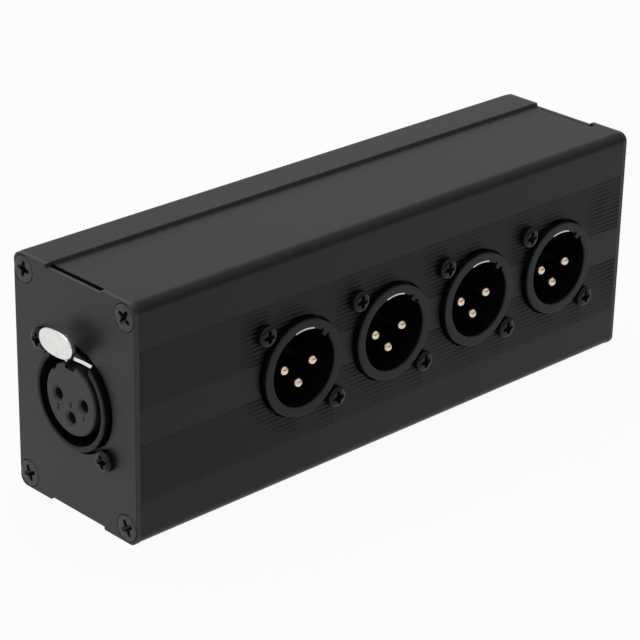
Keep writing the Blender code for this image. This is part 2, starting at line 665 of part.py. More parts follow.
def wire(points, radius):
    """Round wire through the points, as a closed mesh."""
    curve = bpy.data.curves.new("wire", "CURVE")
    curve.dimensions = "3D"
    curve.bevel_depth = radius
    curve.bevel_resolution = 1
    curve.use_fill_caps = True
    spline = curve.splines.new("POLY")
    spline.points.add(len(points) - 1)
    for point, place_at in zip(spline.points, points):
        point.co = (*place_at, 1)
    drawn = loose_object("wire", curve)
    mesh = evaluated_mesh(drawn)
    bpy.data.objects.remove(drawn)
    close_mesh(mesh)
    return loose_object("wire", mesh)


def latch_spring():
    """Small coil between the latch and the roof of its box, standing along local Y."""
    low = latch_outer_radius + JOINT_GAP + SPRING_WIRE_RADIUS
    high = latch_slot_top - JOINT_GAP - SPRING_WIRE_RADIUS
    count = SPRING_TURNS * SPRING_STEPS
    points = []
    for step in range(count + 1):
        angle = 2 * math.pi * step / SPRING_STEPS
        points.append((SPRING_RADIUS * math.cos(angle), low + (high - low) * step / count,
                       SPRING_RADIUS * math.sin(angle) - SPRING_DEPTH))
    return wire(points, SPRING_WIRE_RADIUS)


def bus_board():
    """Board that the pins of all outputs are soldered into, about the outputs' middle."""
    span = output_positions()[-1] - output_positions()[0]
    width = span + 2 * BOARD_MARGIN
    x, y = width / 2, BOARD_HEIGHT / 2
    holes = []
    for index in range(OUTPUT_COUNT):
        for px, py in contact_places():
            holes.append(circle((index * output_pitch - span / 2 + px, py), BOARD_HOLE_RADIUS, HOLE_SEGMENTS))
    return prism([[(-x, -y), (x, -y), (x, y), (-x, y)]] + holes,
                 board_front_face - BOARD_THICKNESS, board_front_face)


def input_lead(contact, pad_height):
    """Insulated lead from a socket's tail round the board's edge to its back."""
    start = (-case_length / 2 - socket_tail_end + JOINT_GAP, -contact[0], contact[1])
    end = (output_positions()[0] - BOARD_MARGIN + LEAD_PAD_INSET,
           BOARD_THICKNESS - board_front_face - CASE_DEPTH / 2 + JOINT_GAP, pad_height)
    leave = (start[0] + LEAD_START_PULL, start[1], start[2])
    arrive = (end[0], end[1] + LEAD_END_PULL, end[2])
    points = []
    for step in range(LEAD_POINTS + 1):
        t = step / LEAD_POINTS
        weights = ((1 - t) ** 3, 3 * t * (1 - t) ** 2, 3 * t * t * (1 - t), t ** 3)
        points.append([sum(w * p[i] for w, p in zip(weights, (start, leave, arrive, end)))
                       for i in range(3)])
    return wire(points, LEAD_RADIUS)


def output_positions():
    """Places of the outputs' axes along the case, from the input end."""
    return [INPUT_BAY - case_length / 2 + index * output_pitch for index in range(OUTPUT_COUNT)]


def copies(shape, count):
    """The shape and further objects that share its mesh."""
    return [shape] + [loose_object("copy", shape.data) for _ in range(count - 1)]


def build_case(centre, shell_finish, plate_finish, screw_finish):
    """Two shells, two end plates and the countersunk screws that hold them."""
    front = shell()
    front.data.transform(Matrix.Rotation(math.pi / 2, 4, "Z") @ Matrix.Rotation(math.pi / 2, 4, "X"))
    place("front_shell", opened_for_outputs(front), shell_finish, centre)
    place("rear_shell", shell(), shell_finish, centre, rotation=TURNED_OVER)

    openings = [circle((0, 0), input_hole_radius, RING_SEGMENTS)]
    openings += [circle(at, fixing_hole_radius, SCREW_SEGMENTS) for at in fixing_places()]
    screws = copies(case_screw(), 2 * len(case_screw_places()))
    for name, holes, side, rotation in (("input_end", openings, -1, VIEW_FROM_INPUT_END),
                                        ("blank_end", [], 1, VIEW_FROM_BLANK_END)):
        frame = axis_empty(name + "_frame", (side * case_length / 2, 0, 0), rotation, centre)
        place(name + "_plate", end_plate(holes), plate_finish, frame)
        for number, (x, y) in enumerate(case_screw_places(), start=1):
            place(f"{name}_screw_{number}", screws.pop(), screw_finish, frame, (x, y, 0))


def build_input(centre, finishes):
    """Input connector with its latch, in the middle of the input end plate."""
    frame = axis_empty("input_frame", (-case_length / 2, 0, 0), VIEW_FROM_INPUT_END, centre)
    place("input_housing", input_housing(), finishes["housing"], frame)
    place("input_insert", input_insert(), finishes["insert"], frame)
    for number, (socket, at) in enumerate(zip(copies(socket_contact(), 3), contact_places()), start=1):
        place(f"input_contact_{number}", socket, finishes["contact"], frame, (*at, 0))
    for number, (screw, at) in enumerate(zip(copies(fixing_screw(), 2), fixing_places()), start=1):
        place(f"input_fixing_{number}", screw, finishes["screw"], frame, (*at, 0))

    pivot = axis_empty("latch_pivot", (0, pivot_y, -PIVOT_DEPTH), parent=frame)
    place("latch_lever", latch_lever(), finishes["latch"], pivot, (0, -pivot_y, PIVOT_DEPTH))
    pin_length = LATCH_WIDTH + 2 * LATCH_BOX_WALL - 2 * RUNNING_GAP
    place("latch_pin", cross_bar(LATCH_PIN_RADIUS, pin_length, (0, 0), PIN_SEGMENTS),
          finishes["steel"], frame, (0, pivot_y, -PIVOT_DEPTH))
    place("latch_spring", latch_spring(), finishes["steel"], frame)


def build_outputs(centre, finishes):
    """Output connectors along the front, and the board that joins them."""
    housings = copies(output_housing(), OUTPUT_COUNT)
    inserts = copies(output_insert(), OUTPUT_COUNT)
    pins = copies(pin_contact(), OUTPUT_COUNT * len(CONTACT_ANGLES))
    screws = copies(fixing_screw(), OUTPUT_COUNT * len(fixing_places()))
    for number, x in enumerate(output_positions(), start=1):
        frame = axis_empty(f"output_{number}_frame", (x, -CASE_DEPTH / 2, 0), VIEW_FROM_FRONT, centre)
        place(f"output_{number}_housing", housings.pop(), finishes["housing"], frame)
        place(f"output_{number}_insert", inserts.pop(), finishes["insert"], frame)
        for contact, at in enumerate(contact_places(), start=1):
            place(f"output_{number}_pin_{contact}", pins.pop(), finishes["contact"], frame, (*at, 0))
        for side, at in enumerate(fixing_places(), start=1):
            place(f"output_{number}_fixing_{side}", screws.pop(), finishes["screw"], frame, (*at, 0))
    middle = (output_positions()[0] + output_positions()[-1]) / 2
    board_frame = axis_empty("board_frame", (middle, -CASE_DEPTH / 2, 0), VIEW_FROM_FRONT, centre)
    place("bus_board", bus_board(), finishes["board"], board_frame)


def build_leads(centre, finishes):
    """Leads from the input's sockets to the board."""
    for number, contact in enumerate(contact_places(), start=1):
        pad_height = (2 - number) * LEAD_PAD_PITCH
        place(f"input_lead_{number}", input_lead(contact, pad_height), finishes["lead"], centre)


def main():
    """Builds the splitter with the world origin under the middle of its outer bounds."""
    finishes = {
        "shell": finish("anodised_aluminium", (0.055, 0.055, 0.057), 0.45, 0.6),
        "plate": finish("black_end_plate", (0.047, 0.047, 0.048), 0.5, 0.3),
        "screw": finish("blackened_steel", (0.04, 0.04, 0.04), 0.4, 0.8),
        "housing": finish("black_die_casting", (0.03, 0.03, 0.032), 0.45, 0.2),
        "insert": finish("black_moulding", (0.05, 0.05, 0.05), 0.55),
        "contact": finish("gold_plating", (0.83, 0.58, 0.25), 0.25, 1.0),
        "latch": finish("polished_latch", (0.7, 0.7, 0.7), 0.2, 1.0),
        "steel": finish("spring_steel", (0.5, 0.5, 0.52), 0.35, 1.0),
        "board": finish("board_laminate", (0.02, 0.12, 0.05), 0.5),
        "lead": finish("lead_insulation", (0.35, 0.03, 0.03), 0.5),
    }
    centre = axis_empty("case_centre", (TAB_PROUD / 2, front_proud / 2, CASE_HEIGHT / 2))
    build_case(centre, finishes["shell"], finishes["plate"], finishes["screw"])
    build_input(centre, finishes)
    build_outputs(centre, finishes)
    build_leads(centre, finishes)


clear_scene()
model = bpy.data.collections.new("splitter_box")
bpy.context.scene.collection.children.link(model)
main()
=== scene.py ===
"""Looks of a splitter box for three-pin stage connectors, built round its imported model.

Every node that shows gets a finer piece in the same place. The pieces inside the case keep
their solids and get their finishes here. Lengths are in metres, +Z is up, the input is on the
-X end and the outputs face -Y. A connector is modelled in its own frame, where X is the
viewer's right, Y is up and Z points out of the panel, whose face is at z = 0.
"""

import logging
import math
from contextlib import contextmanager
from dataclasses import dataclass
from enum import Enum
from typing import Any, Callable, Iterator, Sequence

import bmesh
import bpy
from mathutils import Matrix, Vector


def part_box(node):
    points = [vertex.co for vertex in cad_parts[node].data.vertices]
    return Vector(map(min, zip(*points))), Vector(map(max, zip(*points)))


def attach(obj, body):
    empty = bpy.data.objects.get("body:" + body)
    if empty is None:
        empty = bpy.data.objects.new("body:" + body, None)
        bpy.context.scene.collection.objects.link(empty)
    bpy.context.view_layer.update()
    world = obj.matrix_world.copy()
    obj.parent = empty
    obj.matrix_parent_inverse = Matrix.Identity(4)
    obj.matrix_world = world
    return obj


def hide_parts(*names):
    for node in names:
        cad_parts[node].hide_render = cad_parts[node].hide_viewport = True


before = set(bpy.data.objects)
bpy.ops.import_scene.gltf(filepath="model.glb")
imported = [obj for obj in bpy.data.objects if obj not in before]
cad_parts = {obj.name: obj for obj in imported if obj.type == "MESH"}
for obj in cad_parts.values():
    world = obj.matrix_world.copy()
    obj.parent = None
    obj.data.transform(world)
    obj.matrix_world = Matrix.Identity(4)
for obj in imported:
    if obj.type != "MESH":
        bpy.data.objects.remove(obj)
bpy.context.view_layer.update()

log = logging.getLogger("splitter_box")

MM = 0.001
WELD = 0.001 * MM
LEVEL_SLACK = 10 * WELD
SMOOTH_ANGLE = math.radians(32)
CORNER_ANGLE = math.radians(50)
FLAT_FACE = 0.99
CASE_BODY = "case"
LATCH_BODY = "latch"

Point = tuple[float, float]
Colour = tuple[float, float, float]


class Plane(Enum):
    """The plane that an outline is drawn in."""

    FLAT = "xy"
    UPRIGHT = "xz"


class Operation(Enum):
    """What a Boolean modifier does with its tool."""

    JOIN = "UNION"
    CUT = "DIFFERENCE"


class Facing(Enum):
    """The way a panel faces: the viewer's right, up and out of the panel."""

    FRONT = ((1, 0, 0), (0, 0, 1), (0, -1, 0))
    INPUT_END = ((0, -1, 0), (0, 0, 1), (-1, 0, 0))
    BLANK_END = ((0, 1, 0), (0, 0, 1), (1, 0, 0))
    TURNED_OVER = ((0, -1, 0), (0, 0, -1), (1, 0, 0))

    def seat(self, origin: Vector) -> Matrix:
        """Gives the matrix that takes a piece from its own frame to its place.

        Args:
            origin: Where the piece's own origin comes to lie.

        Returns:
            The 4x4 matrix of the place.
        """
        turn = Matrix(self.value).transposed().to_4x4()
        return Matrix.Translation(origin) @ turn


class Bench:
    """Modelling tools that every sub-assembly shares."""

    @staticmethod
    def deselect_all() -> None:
        """Leaves edit mode and deselects every object."""
        if bpy.context.object and bpy.context.object.mode != "OBJECT":
            bpy.ops.object.mode_set(mode="OBJECT")
        bpy.ops.object.select_all(action="DESELECT")

    @staticmethod
    def adopt(name: str) -> bpy.types.Object:
        """Names the primitive just added and puts its place into its mesh.

        Args:
            name: The piece's name.

        Returns:
            The piece, with its object at the origin.
        """
        piece = bpy.context.object
        piece.name = name
        piece.data.name = name
        bpy.ops.object.transform_apply(location=True, rotation=True, scale=True)
        return piece

    @staticmethod
    @contextmanager
    def editing(piece: bpy.types.Object, select: str = "EDGE") -> Iterator[None]:
        """Opens a piece in edit mode and leaves edit mode afterwards.

        Args:
            piece: The piece to edit.
            select: The select mode, VERT, EDGE or FACE.
        """
        Bench.deselect_all()
        piece.select_set(True)
        bpy.context.view_layer.objects.active = piece
        bpy.ops.object.mode_set(mode="EDIT")
        bpy.ops.mesh.select_mode(type=select)
        bpy.ops.mesh.select_all(action="DESELECT")
        yield
        bpy.ops.object.mode_set(mode="OBJECT")

    @staticmethod
    def block(name: str, x: Point, y: Point, z: Point) -> bpy.types.Object:
        """Adds a block between the low and high values given for each axis.

        Args:
            name: The piece's name.
            x: Low and high value along X.
            y: Low and high value along Y.
            z: Low and high value along Z.

        Returns:
            The block.
        """
        spans = (x, y, z)
        Bench.deselect_all()
        bpy.ops.mesh.primitive_cube_add(size=1, location=[(low + high) / 2 for low, high in spans],
                                        scale=[high - low for low, high in spans])
        return Bench.adopt(name)

    @staticmethod
    def rod(name: str, radius: float, low: float, high: float, centre: Point = (0, 0),
            segments: int = 48, top_radius: float | None = None) -> bpy.types.Object:
        """Adds an upright rod or cone.

        Args:
            name: The piece's name.
            radius: Radius at the low end.
            low: Height of the low end.
            high: Height of the high end.
            centre: Where its axis stands.
            segments: Number of sides.
            top_radius: Radius at the high end, where it differs.

        Returns:
            The rod.
        """
        Bench.deselect_all()
        place = (*centre, (low + high) / 2)
        if top_radius is None:
            bpy.ops.mesh.primitive_cylinder_add(vertices=segments, radius=radius, depth=high - low,
                                                location=place)
        else:
            bpy.ops.mesh.primitive_cone_add(vertices=segments, radius1=radius, radius2=top_radius,
                                            depth=high - low, location=place)
        return Bench.adopt(name)

    @staticmethod
    def cross_rod(name: str, radius: float, half_length: float, centre: Point,
                  segments: int = 32) -> bpy.types.Object:
        """Adds a rod that lies along X, about a centre given as its Y and Z.

        Args:
            name: The piece's name.
            radius: The rod's radius.
            half_length: Half of its length.
            centre: Its axis, as Y and Z.
            segments: Number of sides.

        Returns:
            The rod.
        """
        rod = Bench.rod(name, radius, -half_length, half_length, segments=segments)
        rod.data.transform(Matrix.Translation((0, *centre)) @ Matrix.Rotation(math.pi / 2, 4, "Y"))
        return rod

    @staticmethod
    def combine(piece: bpy.types.Object, operation: Operation,
                *tools: bpy.types.Object) -> bpy.types.Object:
        """Joins tools to a piece or cuts them out of it, and removes the tools.

        Args:
            piece: The piece that is changed.
            operation: Whether the tools are joined or cut out.
            tools: The tools, each used once.

        Returns:
            The piece.
        """
        for tool in tools:
            Bench.deselect_all()
            bpy.context.view_layer.objects.active = piece
            modifier = piece.modifiers.new(operation.name.lower(), "BOOLEAN")
            modifier.operation = operation.value
            modifier.object = tool
            bpy.ops.object.modifier_apply(modifier=modifier.name)
            bpy.data.objects.remove(tool)
        return piece

    @staticmethod
    def round_edges(piece: bpy.types.Object, width: float, segments: int,
                    wanted: Callable[[bmesh.types.BMEdge], bool]) -> bpy.types.Object:
        """Rounds those edges of a piece that pass a test.

        Args:
            piece: The piece.
            width: How far the rounding reaches from the edge.
            segments: Number of steps in the rounding.
            wanted: The test that picks the edges.

        Returns:
            The piece.
        """
        with Bench.editing(piece, "EDGE"):
            shape = bmesh.from_edit_mesh(piece.data)
            for edge in shape.edges:
                edge.select_set(wanted(edge))
            bmesh.update_edit_mesh(piece.data)
            bpy.ops.mesh.bevel(offset=width, segments=segments, affect="EDGES")
        return piece

    @staticmethod
    def is_corner(edge: bmesh.types.BMEdge) -> bool:
        """Tells whether the faces beside an edge meet at a marked angle."""
        return len(edge.link_faces) == 2 and edge.calc_face_angle() > CORNER_ANGLE

    @staticmethod
    def at_height(height: float) -> Callable[[bmesh.types.BMEdge], bool]:
        """Makes a test for corner edges that lie at one height along Z.

        Args:
            height: The height.

        Returns:
            The test.
        """
        def wanted(edge: bmesh.types.BMEdge) -> bool:
            """Tells whether both ends of a corner edge lie at the height."""
            level = all(abs(vert.co.z - height) < LEVEL_SLACK for vert in edge.verts)
            return level and Bench.is_corner(edge)
        return wanted

    @staticmethod
    def copied(piece: bpy.types.Object, name: str, place: Matrix) -> bpy.types.Object:
        """Makes a copy of a piece, with its own mesh, in its place.

        Args:
            piece: The piece to copy.
            name: The copy's name.
            place: The matrix that takes it from its own frame to its place.

        Returns:
            The copy.
        """
        copy = piece.copy()
        copy.data = piece.data.copy()
        copy.name = name
        copy.data.name = name
        copy.data.transform(place)
        bpy.context.scene.collection.objects.link(copy)
        return copy

    @staticmethod
    def smooth(piece: bpy.types.Object, crease: float) -> None:
        """Shades a piece smooth and its flats even.

        Args:
            piece: The piece.
            crease: Angle from which an edge stays sharp.
        """
        Bench.deselect_all()
        piece.select_set(True)
        bpy.context.view_layer.objects.active = piece
        bpy.ops.object.shade_smooth_by_angle(angle=crease)
        modifier = piece.modifiers.new("even_flats", "WEIGHTED_NORMAL")
        modifier.keep_sharp = True
        bpy.ops.object.modifier_apply(modifier=modifier.name)


class Pen:
    """Draws outlines in edit mode by carrying a vertex from point to point."""

    def __init__(self, name: str, plane: Plane = Plane.FLAT) -> None:
        """Opens an empty mesh to draw in.

        Args:
            name: The piece's name.
            plane: The plane that it is drawn in.
        """
        Bench.deselect_all()
        bpy.ops.mesh.primitive_plane_add(size=MM)
        self.piece = Bench.adopt(name)
        self.plane = plane
        self.outlines = 0
        bpy.ops.object.mode_set(mode="EDIT")
        bpy.ops.mesh.select_mode(type="VERT")
        bpy.ops.mesh.select_all(action="SELECT")
        bpy.ops.mesh.delete(type="VERT")

    def _place(self, u: float, v: float) -> Vector:
        """Gives the place of a point of the outline in space."""
        return Vector((u, v, 0)) if self.plane is Plane.FLAT else Vector((u, 0, v))

    def start(self, u: float, v: float) -> "Pen":
        """Puts the first vertex of an outline down, and returns the pen."""
        bpy.ops.mesh.select_all(action="DESELECT")
        self.first = self.tip = self._place(u, v)
        bpy.ops.mesh.primitive_plane_add(size=MM, location=self.tip)
        bpy.ops.mesh.merge(type="CENTER")
        self.outlines += 1
        return self

    def _carry(self, goal: Vector) -> None:
        """Draws a straight line from the tip to a place."""
        bpy.ops.mesh.extrude_vertices_move(TRANSFORM_OT_translate={"value": goal - self.tip})
        self.tip = goal

    def through(self, *points: Point) -> "Pen":
        """Draws straight lines through points, and returns the pen."""
        for u, v in points:
            self._carry(self._place(u, v))
        return self

    def arc(self, centre: Point, degrees: float, steps: int) -> "Pen":
        """Draws an arc by spinning the tip round a centre.

        Args:
            centre: The centre of the arc.
            degrees: How far it turns, positive from the plane's first axis to its second.
            steps: Number of lines that the arc is drawn with.

        Returns:
            The pen.
        """
        hub = self._place(*centre)
        axis = Vector((0, 0, 1)) if self.plane is Plane.FLAT else Vector((0, -1, 0))
        bpy.ops.mesh.spin(steps=steps, angle=-math.radians(degrees), center=hub, axis=axis)
        self.tip = Matrix.Rotation(math.radians(degrees), 3, axis) @ (self.tip - hub) + hub
        return self

    def close(self) -> "Pen":
        """Draws a line back to where the outline started, and returns the pen."""
        self._carry(self.first)
        return self

    def circle(self, centre: Point, radius: float, steps: int) -> "Pen":
        """Draws a whole circle, and returns the pen."""
        return self.start(centre[0] + radius, centre[1]).arc(centre, 360, steps)

    def _weld(self) -> None:
        """Merges the vertices that lie on each other and selects all."""
        bpy.ops.mesh.select_all(action="SELECT")
        bpy.ops.mesh.remove_doubles(threshold=WELD)

    def _done(self) -> bpy.types.Object:
        """Turns all faces outwards, leaves edit mode and gives the piece."""
        bpy.ops.mesh.select_all(action="SELECT")
        bpy.ops.mesh.normals_make_consistent(inside=False)
        bpy.ops.object.mode_set(mode="OBJECT")
        return self.piece

    def prism(self, low: float, high: float, taper: float = 1.0) -> bpy.types.Object:
        """Fills the outlines and draws them out between two heights.

        Args:
            low: Height of the filled outlines.
            high: Height that they are drawn to, which may be below the first.
            taper: Size of the far face as a share of the first one's.

        Returns:
            The solid.
        """
        self._weld()
        if self.outlines == 1:
            bpy.ops.mesh.edge_face_add()
        else:
            bpy.ops.mesh.fill(use_beauty=False)
        bpy.ops.transform.translate(value=(0, 0, low))
        bpy.ops.mesh.extrude_region_move(TRANSFORM_OT_translate={"value": (0, 0, high - low)})
        if taper != 1.0:
            bpy.ops.transform.resize(value=(taper, taper, 1), center_override=(0, 0, high))
        return self._done()

    def turned(self, segments: int) -> bpy.types.Object:
        """Spins the outline round the Z axis.

        Args:
            segments: Number of steps in the whole turn.

        Returns:
            The turned solid.
        """
        self._weld()
        bpy.ops.mesh.spin(steps=segments, angle=2 * math.pi, center=(0, 0, 0), axis=(0, 0, 1))
        self._weld()
        return self._done()


class Signal:
    """A shader socket that takes part in Python arithmetic."""

    def __init__(self, recipe: "Recipe", socket: bpy.types.NodeSocket) -> None:
        """Wraps an output socket of a recipe's node."""
        self.recipe = recipe
        self.socket = socket

    def _maths(self, operation: str, *values: Any) -> "Signal":
        """Adds a Math node on the values given."""
        return self.recipe.node("ShaderNodeMath", {"operation": operation}, dict(enumerate(values)))

    def __add__(self, other: Any) -> "Signal":
        """Adds."""
        return self._maths("ADD", self, other)

    def __sub__(self, other: Any) -> "Signal":
        """Subtracts."""
        return self._maths("SUBTRACT", self, other)

    def __rsub__(self, other: Any) -> "Signal":
        """Subtracts from a number."""
        return self._maths("SUBTRACT", other, self)

    def __mul__(self, other: Any) -> "Signal":
        """Multiplies."""
        return self._maths("MULTIPLY", self, other)

    def __truediv__(self, other: Any) -> "Signal":
        """Divides."""
        return self._maths("DIVIDE", self, other)

    def __abs__(self) -> "Signal":
        """Gives the size without its sign."""
        return self._maths("ABSOLUTE", self)

    __radd__ = __add__
    __rmul__ = __mul__

    def wrapped(self, low: float, high: float) -> "Signal":
        """Repeats the values from a low one to a high one."""
        return self._maths("WRAP", self, high, low)

    def larger(self, other: Any) -> "Signal":
        """Gives the larger of two values."""
        return self._maths("MAXIMUM", self, other)

    def below(self, limit: Any) -> "Signal":
        """Gives 1 where the value is below a limit and 0 elsewhere."""
        return self._maths("LESS_THAN", self, limit)

    def ramped(self, low: float, high: float) -> "Signal":
        """Gives 0 at a low value and 1 at a high one, and goes straight between them."""
        inputs = {"Value": self, "From Min": low, "From Max": high}
        return self.recipe.node("ShaderNodeMapRange", {"clamp": True}, inputs)


class Recipe:
    """The node tree of a material or of the world."""

    def __init__(self, tree: bpy.types.NodeTree) -> None:
        """Starts with an empty tree."""
        self.tree = tree
        tree.nodes.clear()

    def node(self, kind: str, settings: dict[str, Any] | None = None,
             inputs: dict[Any, Any] | None = None, output: Any = 0) -> Signal:
        """Adds a node.

        Args:
            kind: The node's type.
            settings: Its settings, which are set first.
            inputs: The value or the link of each socket, by name or number.
            output: The output that is handed on.

        Returns:
            The output, or None where the node has none.
        """
        made = self.tree.nodes.new(kind)
        for key, value in (settings or {}).items():
            setattr(made, key, value)
        for key, value in (inputs or {}).items():
            if isinstance(value, Signal):
                self.tree.links.new(value.socket, made.inputs[key])
            else:
                made.inputs[key].default_value = value
        return Signal(self, made.outputs[output]) if made.outputs else None

    def millimetres(self, stretch: Colour = (1, 1, 1)) -> Signal:
        """Gives the place on the object in millimetres, stretched along each axis.

        Args:
            stretch: How finely a pattern repeats along each axis, as a share.

        Returns:
            The coordinates.
        """
        place = self.node("ShaderNodeTexCoord", output="Object")
        scale = [share / MM for share in stretch]
        return self.node("ShaderNodeMapping", {}, {"Vector": place, "Scale": scale})

    def noise(self, place: Signal, scale: float, detail: float = 2.0) -> Signal:
        """Adds noise.

        Args:
            place: Where it is read.
            scale: Waves per unit of the coordinates.
            detail: Number of finer layers.

        Returns:
            A value from 0 to 1.
        """
        inputs = {"Vector": place, "Scale": scale, "Detail": detail}
        return self.node("ShaderNodeTexNoise", {}, inputs)

    def tint(self, factor: Any, first: Any, second: Any) -> Signal:
        """Mixes two colours.

        Args:
            factor: Share of the second colour.
            first: The first colour.
            second: The second colour.

        Returns:
            The mixed colour.
        """
        settings = {"data_type": "RGBA"}
        return self.node("ShaderNodeMix", settings, {0: factor, 6: first, 7: second}, output=2)

    def edges(self, reach: float) -> Signal:
        """Finds the outer edges of a piece.

        Args:
            reach: Radius within which a corner is felt.

        Returns:
            A value of 0 on flats, rising towards edges.
        """
        soft = self.node("ShaderNodeBevel", {"samples": 4}, {"Radius": reach})
        true = self.node("ShaderNodeNewGeometry", output="Normal")
        likeness = self.node("ShaderNodeVectorMath", {"operation": "DOT_PRODUCT"},
                             {0: soft, 1: true}, output="Value")
        return (1 - likeness).ramped(0.02, 0.3)

    def bump(self, height: Signal, depth: float, strength: float = 1.0) -> Signal:
        """Adds a relief.

        Args:
            height: The relief, from 0 to 1.
            depth: How deep a height of 1 is.
            strength: Share of the relief that shows.

        Returns:
            The normal.
        """
        inputs = {"Height": height, "Distance": depth, "Strength": strength}
        return self.node("ShaderNodeBump", {}, inputs)


def rgba(colour: Colour, factor: float = 1.0) -> tuple[float, float, float, float]:
    """Gives a colour with its alpha.

    Args:
        colour: Red, green and blue.
        factor: How much lighter it is made.

    Returns:
        Red, green, blue and alpha.
    """
    return (*(min(1.0, part * factor) for part in colour), 1.0)


@dataclass(frozen=True)
class Finish:
    """A finish with its colour, gloss and name, and the base of all others."""

    name: str
    slot: str
    colour: Colour
    roughness: float
    metallic: float = 0.0
    specular: float = 0.5
    variation: float = 0.1
    # Worn edges are painted lighter: real wear, and also painted edge glints.
    wear_reach: float = 0.2 * MM
    wear_share: float = 0.5
    wear_gain: float = 2.0
    relief: float = 0.005 * MM
    grain_scale: float = 3.0

    def varied(self, recipe: Recipe, tone: Signal) -> Signal:
        """Gives the colour, a little darker where the tone is 0 and lighter where it is 1."""
        return recipe.tint(tone, rgba(self.colour, 1 - self.variation),
                           rgba(self.colour, 1 + self.variation))

    def surface(self, recipe: Recipe) -> dict[str, Any]:
        """Works out what changes over the surface.

        Args:
            recipe: The material's node tree.

        Returns:
            The shader's inputs by name.
        """
        grain = recipe.noise(recipe.millimetres(), self.grain_scale)
        return {
            "Base Color": self.varied(recipe, grain),
            "Roughness": grain * 0.08 + (self.roughness - 0.04),
        }

    def make(self) -> bpy.types.Material:
        """Builds the material.

        Returns:
            The material.
        """
        material = bpy.data.materials.new(self.name)
        material.use_nodes = True
        recipe = Recipe(material.node_tree)
        inputs = {"Metallic": self.metallic, "Specular IOR Level": self.specular,
                  **self.surface(recipe)}
        shader = recipe.node("ShaderNodeBsdfPrincipled", {}, inputs)
        recipe.node("ShaderNodeOutputMaterial", {}, {"Surface": shader})
        return material


@dataclass(frozen=True)
class ExtrudedFinish(Finish):
    """Black anodised extrusion: die lines, a fine etch, worn edges with painted glints, duller
    grooved bands and painted ring shade.
    """

    variation: float = 0.15
    wear_reach: float = 0.25 * MM
    wear_gain: float = 2.2
    relief: float = 0.006 * MM
    die_lines: float = 0.5
    die_stretch: Colour = (0.01, 1, 1)
    die_scale: float = 4.0
    etch_scale: float = 7.0
    cloud_scale: float = 0.04
    middle: float = 25.45
    band_start: float = 3.7
    band_end: float = 16.0
    band_fade: float = 0.1
    band_dullness: float = 0.5
    band_shade: float = 0.1
    groove_pitch: float = 0.97
    groove_half_width: float = 0.3
    groove_line: Point = (0.12, 0.3)
    first_output: float = -25.6
    output_pitch: float = 25.4
    left_reach: float = 15.5
    ring_radius: float = 10.4
    fixing_offset: float = 9.617
    fixing_radius: float = 2.3
    # Painted shade and reflection of the rings and their screws in the grooves beside them:
    soot_reach: float = 5.0
    soot_fade: float = 1.6
    soot_strength: float = 0.9
    soot_shade: float = 0.15
    soot_stretch: Colour = (0.05, 0.05, 1)
    soot_scale: float = 1.3

    def soot(self, recipe: Recipe, away: Signal) -> Signal:
        """Finds where painted shade and reflection of the rings and their screws lie in the
        grooves, to their left.

        Args:
            recipe: The material's node tree.
            away: Height above or below the middle of the case.

        Returns:
            A value from 0 to 1.
        """
        place = recipe.millimetres()
        along, depth, height = [recipe.node("ShaderNodeSeparateXYZ", {}, {0: place}, output=axis)
                                for axis in "XYZ"]
        left, right = -self.left_reach, self.output_pitch - self.left_reach
        across = (along - self.first_output).wrapped(left, right)
        flat = recipe.node("ShaderNodeCombineXYZ", {}, {0: across, 1: 0.0, 2: height})
        ragged = recipe.noise(recipe.millimetres(self.soot_stretch), self.soot_scale)
        offset = self.fixing_offset
        spots = ((0.0, 0.0, self.ring_radius), (-offset, offset, self.fixing_radius),
                 (offset, -offset, self.fixing_radius))
        total = None
        for x, z, radius in spots:
            centre = (x, 0.0, self.middle + z)
            distance = recipe.node("ShaderNodeVectorMath", {"operation": "DISTANCE"},
                                   {0: flat, 1: centre}, output="Value")
            near = 1 - (distance + ragged * self.soot_reach).ramped(
                radius + self.soot_reach / 2, radius + self.soot_fade * self.soot_reach)
            beside = near * (x - across).ramped(-self.fixing_radius, 0.0)
            total = beside if total is None else total.larger(beside)
        phase = (away - self.band_start) / self.groove_pitch
        middle = self.groove_half_width / self.groove_pitch
        line = 1 - abs(phase.wrapped(0.0, 1.0) - middle).ramped(*self.groove_line)
        return total * line * depth.below(0.0) * (1 - along.below(self.first_output + left))

    def surface(self, recipe: Recipe) -> dict[str, Any]:
        """Works out the die lines, the etch, the wear with its painted glints, the bands and the
        painted shade beside the rings.
        """
        lines = recipe.noise(recipe.millimetres(self.die_stretch), self.die_scale, 3.0)
        etch = recipe.noise(recipe.millimetres(), self.etch_scale)
        cloud = recipe.noise(recipe.millimetres(), self.cloud_scale)
        wear_and_glint = recipe.edges(self.wear_reach)
        tone = lines * self.die_lines + cloud * (1 - self.die_lines)
        dyed = self.varied(recipe, tone)
        height = recipe.node("ShaderNodeSeparateXYZ", {}, {0: recipe.millimetres()}, output="Z")
        away = abs(height - self.middle)
        band = away.ramped(self.band_start - self.band_fade, self.band_start + self.band_fade)
        band = band * away.below(self.band_end)
        dulled = recipe.tint(band * self.band_dullness, dyed, rgba(self.colour, self.band_shade))
        # Painted shade and reflection of the rings and screws: these grooves are made darker and
        # metallic.
        soot = self.soot(recipe, away) * band * self.soot_strength
        ring_shaded = recipe.tint(soot, dulled, rgba(self.colour, self.soot_shade))
        # Lighter worn edges, which also paint edge glints.
        bright = rgba(self.colour, self.wear_gain)
        return {
            "Base Color": recipe.tint(wear_and_glint * self.wear_share, ring_shaded, bright),
            "Metallic": soot,
            "Roughness": (etch * 0.08 + lines * 0.06 - wear_and_glint * 0.06 + band * 0.1
                          + (self.roughness - 0.07)),
            "Normal": recipe.bump(etch * 0.6 + lines * 0.4, self.relief),
        }


